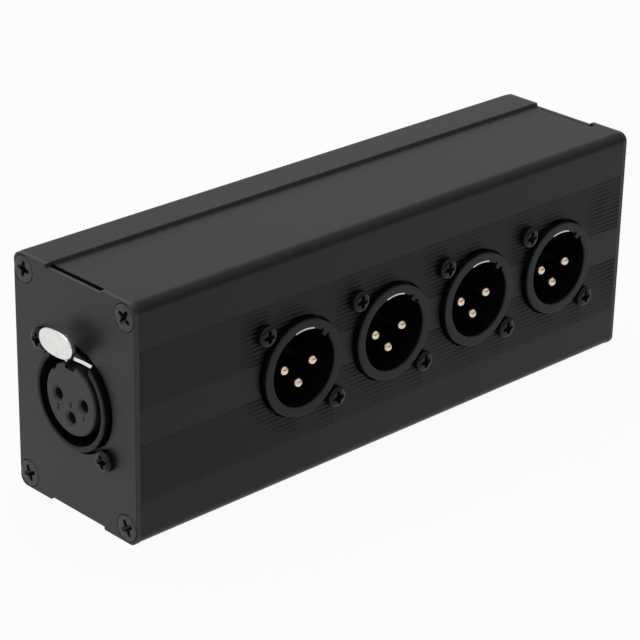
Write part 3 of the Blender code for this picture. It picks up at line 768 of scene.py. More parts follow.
@dataclass(frozen=True)
class SheetFinish(Finish):
    """Black anodised sheet: a fine even etch, faint clouds and worn edges painted lighter, which
    also paints their glints.
    """

    variation: float = 0.12
    wear_share: float = 0.6
    wear_gain: float = 2.4
    relief: float = 0.007 * MM
    etch_scale: float = 6.0
    cloud_scale: float = 0.06

    def surface(self, recipe: Recipe) -> dict[str, Any]:
        """Works out the etch, the clouds and the wear, whose lighter edges are also painted glints.
        """
        etch = recipe.noise(recipe.millimetres(), self.etch_scale, 3.0)
        cloud = recipe.noise(recipe.millimetres(), self.cloud_scale)
        wear_and_glint = recipe.edges(self.wear_reach)
        dyed = self.varied(recipe, cloud * 0.6 + etch * 0.4)
        bright = rgba(self.colour, self.wear_gain)
        return {
            "Base Color": recipe.tint(wear_and_glint * self.wear_share, dyed, bright),
            "Roughness": etch * 0.1 - wear_and_glint * 0.06 + (self.roughness - 0.05),
            "Normal": recipe.bump(etch, self.relief),
        }


@dataclass(frozen=True)
class CoatedFinish(Finish):
    """Black coated casting or moulding: an orange-peel skin and slightly rubbed edges painted
    lighter, which also paints their glints.
    """

    variation: float = 0.15
    wear_reach: float = 0.15 * MM
    wear_gain: float = 1.6
    relief: float = 0.01 * MM
    peel_scale: float = 2.5
    speck_scale: float = 12.0

    def surface(self, recipe: Recipe) -> dict[str, Any]:
        """Works out the skin's relief and the rubbed edges with their painted glints."""
        skin = recipe.noise(recipe.millimetres(), self.peel_scale)
        speck = recipe.noise(recipe.millimetres(), self.speck_scale, 1.0)
        wear_and_glint = recipe.edges(self.wear_reach)
        dyed = self.varied(recipe, skin * 0.5 + speck * 0.5)
        bright = rgba(self.colour, self.wear_gain)
        return {
            "Base Color": recipe.tint(wear_and_glint * self.wear_share, dyed, bright),
            "Roughness": skin * 0.1 + speck * 0.06 - wear_and_glint * 0.08 + (self.roughness - 0.08),
            "Normal": recipe.bump(skin * 0.7 + speck * 0.3, self.relief),
        }


@dataclass(frozen=True)
class PlatedFinish(Finish):
    """Bright plating: faint polishing marks, smudges and slow changes of tone."""

    relief: float = 0.001 * MM
    tarnish: Colour = (0.5, 0.5, 0.5)
    tarnish_share: float = 0.25
    marks: Colour = (1, 1, 1)
    mark_scale: float = 9.0
    smudge_scale: float = 0.7
    smudge_band: Point = (0.45, 0.75)

    def surface(self, recipe: Recipe) -> dict[str, Any]:
        """Works out the marks, the smudges and the tarnish."""
        marks = recipe.noise(recipe.millimetres(self.marks), self.mark_scale, 3.0)
        smudge = recipe.noise(recipe.millimetres(), self.smudge_scale, 3.0)
        smudge = smudge.ramped(*self.smudge_band)
        dulled = recipe.tint(smudge * self.tarnish_share, rgba(self.colour), rgba(self.tarnish))
        return {
            "Base Color": dulled,
            "Roughness": smudge * 0.1 + marks * 0.08 + (self.roughness - 0.05),
            "Normal": recipe.bump(marks, self.relief),
        }


@dataclass(frozen=True)
class BlackenedFinish(Finish):
    """Blackened steel screw: an oily black skin, rubbed through at its edges to lighter bare metal
    that also paints glints.
    """

    variation: float = 0.3
    wear_reach: float = 0.12 * MM
    wear_share: float = 0.6
    wear_band: Point = (0.35, 0.65)
    relief: float = 0.008 * MM
    skin_scale: float = 3.5
    bare: Colour = (0.16, 0.155, 0.15)

    def surface(self, recipe: Recipe) -> dict[str, Any]:
        """Works out the skin and where it is rubbed through, which also paints the edge glints."""
        skin = recipe.noise(recipe.millimetres(), self.skin_scale, 3.0)
        wear_and_glint = recipe.edges(self.wear_reach) * skin.ramped(*self.wear_band)
        dyed = self.varied(recipe, skin)
        return {
            "Base Color": recipe.tint(wear_and_glint * self.wear_share, dyed, rgba(self.bare)),
            "Roughness": skin * 0.18 + (self.roughness - 0.09),
            "Metallic": wear_and_glint * 0.5 + self.metallic,
            "Normal": recipe.bump(skin, self.relief),
        }


@dataclass(frozen=True)
class LaminateFinish(Finish):
    """Board laminate: green mask over copper tracks that run the length of the board."""

    variation: float = 0.15
    relief: float = 0.03 * MM
    track: Colour = (0.05, 0.24, 0.08)
    track_heights: tuple[float, ...] = (16.4, 25.45, 34.5)
    track_half_width: float = 2.2
    weave_stretch: Colour = (1, 1, 0.15)
    weave_scale: float = 2.0

    def surface(self, recipe: Recipe) -> dict[str, Any]:
        """Works out the tracks and the weave under the mask."""
        height = recipe.node("ShaderNodeSeparateXYZ", {}, {0: recipe.millimetres()}, output="Z")
        tracks = abs(height - self.track_heights[0]).below(self.track_half_width)
        for level in self.track_heights[1:]:
            tracks = tracks.larger(abs(height - level).below(self.track_half_width))
        weave = recipe.noise(recipe.millimetres(self.weave_stretch), self.weave_scale)
        return {
            "Base Color": recipe.tint(tracks, self.varied(recipe, weave), rgba(self.track)),
            "Roughness": weave * 0.1 + (self.roughness - 0.05),
            "Normal": recipe.bump(tracks * 0.8 + weave * 0.2, self.relief),
        }


class Finishes(Enum):
    """Every finish on the box."""

    SHELL = ExtrudedFinish("black_anodised_extrusion", "shell", (0.012, 0.012, 0.0124), 0.4,
                           specular=0.2)
    PLATE = SheetFinish("black_anodised_sheet", "end_plate", (0.014, 0.014, 0.0145), 0.42,
                        specular=0.35)
    SCREW = BlackenedFinish("blackened_steel", "black_screw", (0.008, 0.008, 0.0085), 0.26,
                            metallic=0.1)
    # The light bare colour at the pan heads' rubbed edges also paints their glints.
    PAN = BlackenedFinish("oiled_steel", "black_screw", (0.006, 0.006, 0.0065), 0.22, specular=0.2,
                          bare=(0.4, 0.39, 0.38))
    # A dull black sleeve of painted shade for the input's mouth.
    LINING = CoatedFinish("dull_black_shade_sleeve", "connector_housing", (0.004, 0.004, 0.0045), 0.9,
                          specular=0.06)
    HOUSING = CoatedFinish("black_coated_casting", "connector_housing", (0.004, 0.004, 0.0055),
                           0.38, specular=0.22)
    INSERT = CoatedFinish("black_moulding", "connector_insert", (0.026, 0.026, 0.026), 0.5,
                          specular=0.4, relief=0.004 * MM, peel_scale=5.0)
    NUMERAL = CoatedFinish("moulded_numeral", "connector_insert", (0.008, 0.008, 0.008), 0.6,
                           specular=0.15)
    CONTACT = PlatedFinish("gold_plating", "contact", (0.74, 0.63, 0.47), 0.18, metallic=1.0,
                           tarnish=(0.5, 0.36, 0.2))
    LATCH = PlatedFinish("polished_latch", "latch", (0.78, 0.77, 0.75), 0.16, metallic=1.0,
                         marks=(1, 0.08, 1), tarnish=(0.55, 0.54, 0.52))
    STEEL = PlatedFinish("spring_steel", "spring_steel", (0.55, 0.55, 0.56), 0.3, metallic=1.0,
                         tarnish=(0.3, 0.29, 0.28))
    BOARD = LaminateFinish("board_laminate", "board", (0.015, 0.11, 0.045), 0.4)
    LEAD = CoatedFinish("lead_insulation", "lead", (0.42, 0.03, 0.03), 0.45, peel_scale=1.5)


class Dresser:
    """Gives pieces their finish and their body, and hides the nodes that they stand for."""

    def __init__(self) -> None:
        """Makes every finish once."""
        self.materials = {finish: finish.value.make() for finish in Finishes}

    def dress(self, piece: bpy.types.Object, finish: Finishes, *nodes: str,
              body: str = CASE_BODY, crease: float = SMOOTH_ANGLE) -> bpy.types.Object:
        """Finishes a new piece and hangs it on its body.

        Args:
            piece: The piece, in its place.
            finish: Its finish.
            nodes: The nodes that it stands for.
            body: The body that it moves with.
            crease: Angle from which an edge stays sharp.

        Returns:
            The piece.
        """
        Bench.smooth(piece, crease)
        piece.data.materials.clear()
        piece.data.materials.append(self.materials[finish])
        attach(piece, body)
        if nodes:
            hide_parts(*nodes)
        log.info("%s: %d faces, %s", piece.name, len(piece.data.polygons), finish.value.name)
        return piece

    def repaint(self, node: str, finish: Finishes) -> None:
        """Gives a node that keeps its solid its finish."""
        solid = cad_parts[node]
        solid.data.materials.clear()
        solid.data.materials.append(self.materials[finish])
        log.info("%s keeps its solid, %s", node, finish.value.name)


@dataclass(frozen=True)
class Places:
    """Where the panels and the connectors lie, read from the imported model."""

    middle: Vector
    size: Vector
    input_axis: Vector
    output_axes: tuple[Vector, ...]

    @classmethod
    def read(cls) -> "Places":
        """Reads the places from the nodes' boxes.

        Returns:
            The places.
        """
        corners = [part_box(name) for name in ("input_end_plate", "blank_end_plate")]
        low, high = corners[0][0], corners[1][1]
        middle = (low + high) / 2
        outputs = []
        for name in sorted(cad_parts):
            if name.startswith("output_") and name.endswith("_insert"):
                left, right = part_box(name)
                outputs.append(Vector(((left.x + right.x) / 2, low.y, middle.z)))
        return cls(middle, high - low, Vector((low.x, middle.y, middle.z)), tuple(outputs))


@dataclass(frozen=True)
class Screw:
    """A cross-recess screw, drawn with its head's face or its seat at z = 0."""

    head_radius: float
    shank_radius: float
    length: float
    root_half_width: float = 0.6 * MM
    tip_half_width: float = 0.36 * MM
    recess_depth: float = 1.3 * MM
    recess_share: float = 0.66
    recess_taper: float = 0.45
    recess_clearance: float = 0.1 * MM
    tip_taper: float = 0.4
    segments: int = 40

    def recess(self, top: float) -> bpy.types.Object:
        """Makes the tapered cross that is cut into the head.

        Args:
            top: Height of the head's face.

        Returns:
            The cutter.
        """
        reach = self.head_radius * self.recess_share
        pen = Pen("recess").start(self.root_half_width, self.root_half_width)
        for quarter in range(4):
            turn = Matrix.Rotation(math.radians(90 * quarter), 2)
            corners = ((self.tip_half_width, reach), (-self.tip_half_width, reach),
                       (-self.root_half_width, self.root_half_width))
            pen.through(*[tuple(turn @ Vector(corner)) for corner in corners])
        above = top + self.recess_clearance
        return pen.prism(above, top - self.recess_depth, self.recess_taper)

    def tip(self, end: float) -> list[Point]:
        """Lists the profile's points at the end of the shank."""
        taper = self.shank_radius * self.tip_taper
        return [(self.shank_radius, end + taper), (self.shank_radius - taper, end), (0, end)]


@dataclass(frozen=True)
class CountersunkScrew(Screw):
    """Screw whose flat head lies flush with an end plate."""

    head_edge: float = 0.15 * MM
    edge_steps: int = 4

    def build(self) -> bpy.types.Object:
        """Models the screw.

        Returns:
            The screw.
        """
        pen = Pen("countersunk_screw", Plane.UPRIGHT).start(0, 0)
        pen.through((self.head_radius - self.head_edge, 0))
        pen.arc((self.head_radius - self.head_edge, -self.head_edge), -90, self.edge_steps)
        pen.through((self.shank_radius, self.shank_radius - self.head_radius),
                    *self.tip(-self.length))
        return Bench.combine(pen.turned(self.segments), Operation.CUT, self.recess(0))


@dataclass(frozen=True)
class PanScrew(Screw):
    """Screw whose domed head stands on a panel."""

    head_height: float = 1.45 * MM
    head_edge: float = 0.75 * MM
    head_flat: float = 1.1 * MM
    crown_steps: int = 9

    def build(self, seat: float) -> bpy.types.Object:
        """Models the screw.

        Args:
            seat: Height of the underside of its head.

        Returns:
            The screw.
        """
        crown = [(0, seat + self.head_height)]
        rise = self.head_height - self.head_edge
        flank = self.head_radius - self.head_flat
        for step in range(self.crown_steps + 1):
            angle = math.pi / 2 * step / self.crown_steps
            crown.append((self.head_flat + flank * math.sin(angle),
                          seat + self.head_edge + rise * math.cos(angle)))
        pen = Pen("pan_screw", Plane.UPRIGHT).start(*crown[0]).through(*crown[1:])
        pen.through((self.head_radius, seat), (self.shank_radius, seat),
                    *self.tip(seat - self.length))
        top = seat + self.head_height
        return Bench.combine(pen.turned(self.segments), Operation.CUT, self.recess(top))


@dataclass(frozen=True)
class Case:
    """The two extruded shells, the end plates and the screws that hold them."""

    wall: float = 1.5 * MM
    front_corner: float = 2.25 * MM
    rear_corner: float = 1.75 * MM
    plate_corner: float = 2.0 * MM
    plate_edge: float = 0.12 * MM
    joint_gap: float = 0.3 * MM
    seam_gap: float = 0.1 * MM
    end_gap: float = 0.06 * MM
    recess_depth: float = 0.65 * MM
    recess_half_width: float = 8.7 * MM
    recess_slope: float = 1.2 * MM
    recess_relief: float = 0.85 * MM
    ridge: float = 0.12 * MM
    seam_slope: float = 0.45 * MM
    lip: float = 0.8 * MM
    lip_overlap: float = 2.0 * MM
    groove_pitch: float = 0.97 * MM
    groove_half_width: float = 0.3 * MM
    groove_depth: float = 0.028 * MM
    groove_count: int = 13
    plain_half_width: float = 3.7 * MM
    screw_inset_y: float = 2.9 * MM
    screw_inset_z: float = 3.2 * MM
    channel_radius: float = 2.9 * MM
    channel_bore: float = 1.7 * MM
    sink_clearance: float = 0.2 * MM
    notch_half_width: float = 8.2 * MM
    notch_slope: float = 0.2 * MM
    slot_depth: float = 0.25 * MM
    slot_height: float = 1.5 * MM
    input_hole: float = 11.35 * MM
    output_hole: float = 10.85 * MM
    arc_steps: int = 16
    edge_steps: int = 4
    sink_segments: int = 64
    hole_segments: int = 128
    crease: float = math.radians(8)
    input_turns: tuple[float, ...] = (22, 30, -32, -9)
    blank_turns: tuple[float, ...] = (-15, 40, 8, -28)
    screw: CountersunkScrew = CountersunkScrew(2.8 * MM, 1.5 * MM, 9.0 * MM)

    def _grooves(self, pen: Pen, face: float) -> None:
        """Draws both bands of grooves down the panel side of the section."""
        first = self.plain_half_width + self.groove_half_width
        upper = [first + index * self.groove_pitch for index in reversed(range(self.groove_count))]
        for centre in upper + [-height for height in reversed(upper)]:
            pen.through((face, centre + self.groove_half_width), (face + self.groove_depth, centre),
                        (face, centre - self.groove_half_width))

    def _shell(self, name: str, places: Places, rounding: float) -> bpy.types.Object:
        """Draws the section of one case half and draws it out along the case.

        Args:
            name: The piece's name.
            places: Where everything lies.
            rounding: Radius of its two outer corners.

        Returns:
            The shell, with its length along Z.
        """
        low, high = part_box("front_shell")
        y, z = places.size.y / 2, places.size.z / 2
        inner_y, inner_z = y - self.wall, z - self.recess_depth - self.wall
        screw = (-y + self.screw_inset_y, z - self.screw_inset_z)
        tongue_end = self.recess_half_width + self.lip_overlap
        tongue_top = z - self.lip - self.joint_gap
        seam = self.recess_half_width - self.seam_gap
        corner = (-y + rounding, z - rounding)
        pen = Pen(name).start(tongue_end, tongue_top)
        pen.through((seam, tongue_top), (seam, z), (seam - self.ridge, z),
                    (seam - self.ridge - self.seam_slope, z - self.recess_depth),
                    (-self.recess_half_width, z - self.recess_depth),
                    (-self.recess_half_width - self.recess_slope, z), (corner[0], z))
        pen.arc(corner, 90, self.arc_steps)
        self._grooves(pen, -y)
        pen.through((-y, -corner[1])).arc((corner[0], -corner[1]), 90, self.arc_steps)
        undercut = tongue_end + self.joint_gap
        pen.through((-self.recess_half_width, -z), (-self.recess_half_width, -z + self.lip),
                    (-undercut, -z + self.lip), (-undercut, -inner_z))
        wall_angle = math.degrees(math.acos((screw[0] + inner_y) / self.channel_radius))
        roof_angle = math.degrees(math.asin((inner_z - screw[1]) / self.channel_radius))
        turn = 180 - wall_angle + roof_angle
        flank = Vector((math.cos(math.radians(roof_angle)), math.sin(math.radians(roof_angle))))
        foot = flank * self.channel_radius
        pen.through((screw[0] + foot.x, -screw[1] - foot.y))
        pen.arc((screw[0], -screw[1]), turn, self.arc_steps)
        pen.through((pen.tip.x, -pen.tip.y)).arc(screw, turn, self.arc_steps)
        pen.through((tongue_end, inner_z)).close()
        for side in (1, -1):
            pen.circle((screw[0], side * screw[1]), self.channel_bore, 4 * self.arc_steps)
        half = (high.x - low.x) / 2 + self.joint_gap - self.end_gap
        shell = pen.prism(-half, half)
        floor = z - self.recess_depth
        relief = Bench.block("relief", (-self.notch_half_width, self.notch_half_width),
                             (floor - 2 * self.wall, floor + self.wall),
                             (-half - self.wall, self.recess_relief - half))
        return Bench.combine(shell, Operation.CUT, relief)

    def _plate(self, places: Places, name: str,
               holes: Sequence[tuple[Point, float]]) -> bpy.types.Object:
        """Models an end plate with its outer face at z = 0.

        Args:
            places: Where everything lies.
            name: The node that it stands for.
            holes: Centre and radius of each hole.

        Returns:
            The plate.
        """
        low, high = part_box(name)
        thickness = high.x - low.x
        y, z = places.size.y / 2, places.size.z / 2
        floor = self.notch_half_width
        top = floor + self.notch_slope
        pen = Pen(name).start(floor, -z + self.recess_depth)
        for side in (1, -1):
            corner = (side * (y - self.plate_corner), side * (z - self.plate_corner))
            pen.through((side * top, -side * z), (corner[0], -side * z))
            pen.arc((corner[0], -corner[1]), 90, self.arc_steps)
            pen.through((side * y, corner[1])).arc(corner, 90, self.arc_steps)
            pen.through((side * top, side * z), (side * floor, side * (z - self.recess_depth)),
                        (-side * floor, side * (z - self.recess_depth)))
        plate = pen.prism(0, -thickness)
        Bench.round_edges(plate, self.plate_edge, self.edge_steps, Bench.at_height(0))
        deep = -2 * thickness
        sink = self.screw.head_radius + self.sink_clearance
        cutters = [Bench.rod("sink", sink + deep, deep, 0, centre, self.sink_segments, sink)
                   for centre in self.screw_places(places)]
        cutters += [Bench.rod("hole", radius, deep, thickness, centre, self.hole_segments)
                    for centre, radius in holes]
        for side in (1, -1):
            edges = sorted((side * z, side * (z - self.recess_depth - self.slot_height)))
            cutters.append(Bench.block("slot", (-floor, floor), edges,
                                       (deep, self.slot_depth - thickness)))
        return Bench.combine(plate, Operation.CUT, *cutters)

    def screw_places(self, places: Places) -> list[Point]:
        """Lists the four screws of an end plate in its own frame."""
        y, z = places.size.y / 2 - self.screw_inset_y, places.size.z / 2 - self.screw_inset_z
        return [(-y, -z), (y, -z), (y, z), (-y, z)]

    def build(self, places: Places, fixings: Sequence[tuple[Point, float]],
              dresser: Dresser) -> None:
        """Builds and dresses the case.

        Args:
            places: Where everything lies.
            fixings: Centre and radius of a connector's screw holes in its own frame.
            dresser: Gives the pieces their finish.
        """
        front = self._shell("front_case_half", places, self.front_corner)
        front.data.transform(Facing.BLANK_END.seat(places.middle))
        rear = self._shell("rear_case_half", places, self.rear_corner)
        rear.data.transform(Facing.TURNED_OVER.seat(places.middle))
        for axis in places.output_axes:
            holes = [((0, 0), self.output_hole), *fixings]
            drills = [Bench.rod("drill", radius, -2 * self.wall, self.wall, centre,
                                self.hole_segments) for centre, radius in holes]
            for drill in drills:
                drill.data.transform(Facing.FRONT.seat(axis))
            Bench.combine(front, Operation.CUT, *drills)
        dresser.dress(front, Finishes.SHELL, "front_shell", crease=self.crease)
        dresser.dress(rear, Finishes.SHELL, "rear_shell", crease=self.crease)
        screw = self.screw.build()
        holes = [((0, 0), self.input_hole), *fixings]
        ends = (("input_end", Facing.INPUT_END, -1, holes, self.input_turns),
                ("blank_end", Facing.BLANK_END, 1, [], self.blank_turns))
        for end, facing, side, holes, turns in ends:
            origin = places.middle + Vector((side * places.size.x / 2, 0, 0))
            plate = self._plate(places, f"{end}_plate", holes)
            plate.name = f"{end}_cover"
            plate.data.transform(facing.seat(origin))
            dresser.dress(plate, Finishes.PLATE, f"{end}_plate")
            for number, (centre, turn) in enumerate(zip(self.screw_places(places), turns), start=1):
                seat = facing.seat(origin) @ Matrix.Translation((*centre, 0))
                seat = seat @ Matrix.Rotation(math.radians(turn), 4, "Z")
                copy = Bench.copied(screw, f"{end}_case_screw_{number}", seat)
                dresser.dress(copy, Finishes.SCREW, f"{end}_screw_{number}")
        bpy.data.objects.remove(screw)


@dataclass(frozen=True)
class Connector:
    """What the input and the outputs share: ring, flange, screw bosses and contacts."""

    contact_circle: float = 3.9 * MM
    contact_angles: tuple[float, ...] = (0, 180, 270)
    contact_radius: float = 1.2 * MM
    fixing_offset: float = 9.617 * MM
    fixing_turns: tuple[float, ...] = (4, 13)
    fixing_hole: float = 1.55 * MM
    boss_radius: float = 2.4 * MM
    boss_length: float = 8.0 * MM
    flange_half: float = 12.217 * MM
    flange_corner: float = 2.0 * MM
    flange_thickness: float = 2.0 * MM
    flange_corner_steps: int = 6
    flange_hole_segments: int = 48
    rim: float = 0.3 * MM
    rim_steps: int = 5
    fit: float = 0.15 * MM
    ring_segments: int = 144
    fixing_segments: int = 32
    screw: PanScrew = PanScrew(2.25 * MM, 1.25 * MM, 8.0 * MM, recess_share=0.72)

    def contact_places(self) -> list[Point]:
        """Lists contacts 1, 2 and 3 in the connector's frame."""
        turns = [math.radians(angle) for angle in self.contact_angles]
        return [(self.contact_circle * math.cos(turn), self.contact_circle * math.sin(turn))
                for turn in turns]

    def fixing_places(self) -> list[Point]:
        """Lists the two screws, upper left and lower right."""
        offset = self.fixing_offset
        return [(-offset, offset), (offset, -offset)]

    def fixing_holes(self) -> list[tuple[Point, float]]:
        """Lists the centre and the radius of each screw's hole in the panel."""
        return [(place, self.fixing_hole) for place in self.fixing_places()]

    def ring(self, name: str, inner: float, outer: float, face: float,
             rear: float) -> bpy.types.Object:
        """Turns a ring with rounded rims.

        Args:
            name: The piece's name.
            inner: Inner radius.
            outer: Outer radius.
            face: Height of its face.
            rear: Height of its rear end.

        Returns:
            The ring.
        """
        low = face - self.rim
        pen = Pen(name, Plane.UPRIGHT).start(inner, low)
        pen.arc((inner + self.rim, low), -90, self.rim_steps).through((outer - self.rim, face))
        pen.arc((outer - self.rim, low), -90, self.rim_steps).through((outer, rear), (inner, rear))
        return pen.close().turned(self.ring_segments)

    def flange(self, hole: float, front: float) -> bpy.types.Object:
        """Draws the square flange with its round hole.

        Args:
            hole: Radius of the hole.
            front: Height of the flange's front face.

        Returns:
            The flange.
        """
        half, steps = self.flange_half, self.flange_corner_steps
        middle = half - self.flange_corner
        pen = Pen("flange").start(half, -middle).through((half, middle))
        pen.arc((middle, middle), 90, steps).through((-middle, half))
        pen.arc((-middle, middle), 90, steps).through((-half, -middle))
        pen.arc((-middle, -middle), 90, steps).through((middle, -half))
        pen.arc((middle, -middle), 90, steps).circle((0, 0), hole, self.flange_hole_segments)
        return pen.prism(front - self.flange_thickness, front)

    def with_flange(self, body: bpy.types.Object, hole: float, front: float) -> bpy.types.Object:
        """Joins the flange and the screw bosses to a connector's ring.

        Args:
            body: The ring.
            hole: Radius of the flange's hole, within the ring's wall.
            front: Height of the flange's front face.

        Returns:
            The ring with its flange.
        """
        top = front - self.flange_thickness / 2
        bosses = [Bench.rod("boss", self.boss_radius, -self.boss_length, top, place,
                            self.fixing_segments) for place in self.fixing_places()]
        bore = self.screw.shank_radius + self.fit
        bores = [Bench.rod("bore", bore, -2 * self.boss_length, self.boss_length, place,
                           self.fixing_segments) for place in self.fixing_places()]
        Bench.combine(body, Operation.JOIN, self.flange(hole, front), *bosses)
        return Bench.combine(body, Operation.CUT, *bores)

    def fasten(self, nodes: str, seat: Matrix, screw: bpy.types.Object, dresser: Dresser) -> None:
        """Puts the connector's two screws in their places.

        Args:
            nodes: Start of the screws' node names.
            seat: The connector's place.
            screw: The modelled screw.
            dresser: Gives them their finish.
        """
        fixings = zip(self.fixing_places(), self.fixing_turns)
        for number, (place, turn) in enumerate(fixings, start=1):
            where = seat @ Matrix.Translation((*place, 0))
            where = where @ Matrix.Rotation(math.radians(turn), 4, "Z")
            copy = Bench.copied(screw, f"{nodes}_pan_screw_{number}", where)
            dresser.dress(copy, Finishes.PAN, f"{nodes}_fixing_{number}")


@dataclass(frozen=True)
class OutputConnector(Connector):
    """Male output: a plain ring round a deep cavity with three round-tipped pins."""

    cavity_radius: float = 8.25 * MM
    ring_radius: float = 10.4 * MM
    ring_face: float = 1.4 * MM
    cavity_depth: float = 14.6 * MM
    insert_thickness: float = 4.0 * MM
    flange_front: float = -1.8 * MM
    key_angle: float = 48
    key_half_width: float = 0.65 * MM
    key_height: float = 0.6 * MM
    key_setback: float = 0.12 * MM
    key_bite: float = 1.15 * MM
    key_lift: float = 0.3 * MM
    key_edge: float = 0.15 * MM
    key_edge_steps: int = 3
    scallop_radius: float = 0.42 * MM
    # A bright steel strip in the cavity's rim that stands in for the rim's highlight:
    scallop_segments: int = 20
    strip_middle: float = 90
    strip_half_angle: float = 17
    strip_inset: float = 0.05 * MM
    strip_width: float = 0.3 * MM
    strip_depth: float = 6.0 * MM
    strip_rise: float = 0.02 * MM
    strip_steps: int = 20
    insert_segments: int = 96
    insert_edge_steps: int = 4
    pin_tip: float = 0.35 * MM
    pin_tip_steps: int = 12
    pin_segments: int = 32
    tail_radius: float = 0.5 * MM
    fixing_turns: tuple[float, ...] = (1, 4)

    def housing(self) -> bpy.types.Object:
        """Models the housing with its ring, cavity and key.

        Returns:
            The housing.
        """
        floor = self.ring_face - self.cavity_depth
        rear = floor - self.insert_thickness
        body = self.ring("housing", self.cavity_radius, self.ring_radius, self.ring_face, rear)
        self.with_flange(body, (self.cavity_radius + self.ring_radius) / 2, self.flange_front)
        wall, foot = self.cavity_radius, floor + self.key_lift
        key = Bench.block("key", (wall - self.key_height, wall + self.key_bite),
                          (-self.key_half_width, self.key_half_width),
                          (foot, self.ring_face - self.key_setback))
        Bench.round_edges(key, self.key_edge, self.key_edge_steps, Bench.is_corner)
        side = self.key_half_width + self.scallop_radius
        scallops = [Bench.rod("scallop", self.scallop_radius, foot, 2 * self.ring_face,
                              (wall, sign * side), self.scallop_segments) for sign in (1, -1)]
        for tool in (key, *scallops):
            tool.data.transform(Matrix.Rotation(math.radians(self.key_angle), 4, "Z"))
        Bench.combine(body, Operation.CUT, *scallops)
        return Bench.combine(body, Operation.JOIN, key)

    def strip(self) -> bpy.types.Object:
        """Models a thin bright steel strip in the cavity's rim, which gives the rim's highlight.

        Returns:
            The strip.
        """
        inner = self.cavity_radius + self.strip_inset
        outer = inner + self.strip_width
        turn = math.radians(self.strip_middle - self.strip_half_angle)
        sweep, steps = 2 * self.strip_half_angle, self.strip_steps
        pen = Pen("strip").start(outer * math.cos(turn), outer * math.sin(turn))
        pen.arc((0, 0), sweep, steps)
        turn += math.radians(sweep)
        pen.through((inner * math.cos(turn), inner * math.sin(turn))).arc((0, 0), -sweep, steps)
        high = self.ring_face + self.strip_rise
        return pen.close().prism(self.ring_face - self.strip_depth, high)

    def insert(self) -> bpy.types.Object:
        """Models the disc at the bottom of the cavity that holds the pins.

        Returns:
            The disc.
        """
        floor = self.ring_face - self.cavity_depth
        radius = self.cavity_radius - self.fit
        pen = Pen("insert", Plane.UPRIGHT).start(0, floor).through((radius - self.rim, floor))
        pen.arc((radius - self.rim, floor - self.rim), -90, self.insert_edge_steps)
        pen.through((radius, floor - self.insert_thickness), (0, floor - self.insert_thickness))
        disc = pen.turned(self.insert_segments)
        bore = self.contact_radius + self.fit
        holes = [Bench.rod("hole", bore, 2 * floor, 0, place, self.pin_segments)
                 for place in self.contact_places()]
        return Bench.combine(disc, Operation.CUT, *holes)

    def pin(self) -> bpy.types.Object:
        """Models a contact with a round tip and a thin tail.

        Returns:
            The pin.
        """
        low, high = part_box("output_1_pin_1")
        tail, end = self.tail_radius, self.pin_tip - (high.y - low.y)
        hub = self.pin_tip - self.contact_radius
        rear = self.ring_face - self.cavity_depth - self.insert_thickness
        pen = Pen("pin", Plane.UPRIGHT).start(0, self.pin_tip)
        pen.arc((0, hub), -90, self.pin_tip_steps)
        pen.through((self.contact_radius, rear), (tail, rear), (tail, end), (0, end))
        return pen.turned(self.pin_segments)

    def build(self, places: Places, screw: bpy.types.Object, dresser: Dresser) -> None:
        """Builds and dresses every output.

        Args:
            places: Where everything lies.
            screw: The modelled pan screw.
            dresser: Gives the pieces their finish.
        """
        housing, insert, pin, strip = self.housing(), self.insert(), self.pin(), self.strip()
        for number, axis in enumerate(places.output_axes, start=1):
            name, seat = f"output_{number}", Facing.FRONT.seat(axis)
            copy = Bench.copied(housing, f"{name}_shroud", seat)
            dresser.dress(copy, Finishes.HOUSING, f"{name}_housing")
            copy = Bench.copied(insert, f"{name}_disc", seat)
            dresser.dress(copy, Finishes.INSERT, f"{name}_insert")
            dresser.dress(Bench.copied(strip, f"{name}_highlight_strip", seat), Finishes.STEEL)
            for contact, place in enumerate(self.contact_places(), start=1):
                where = seat @ Matrix.Translation((*place, 0))
                copy = Bench.copied(pin, f"{name}_contact_{contact}", where)
                dresser.dress(copy, Finishes.CONTACT, f"{name}_pin_{contact}")
            self.fasten(name, seat, screw, dresser)
        for piece in (housing, insert, pin, strip):
            bpy.data.objects.remove(piece)


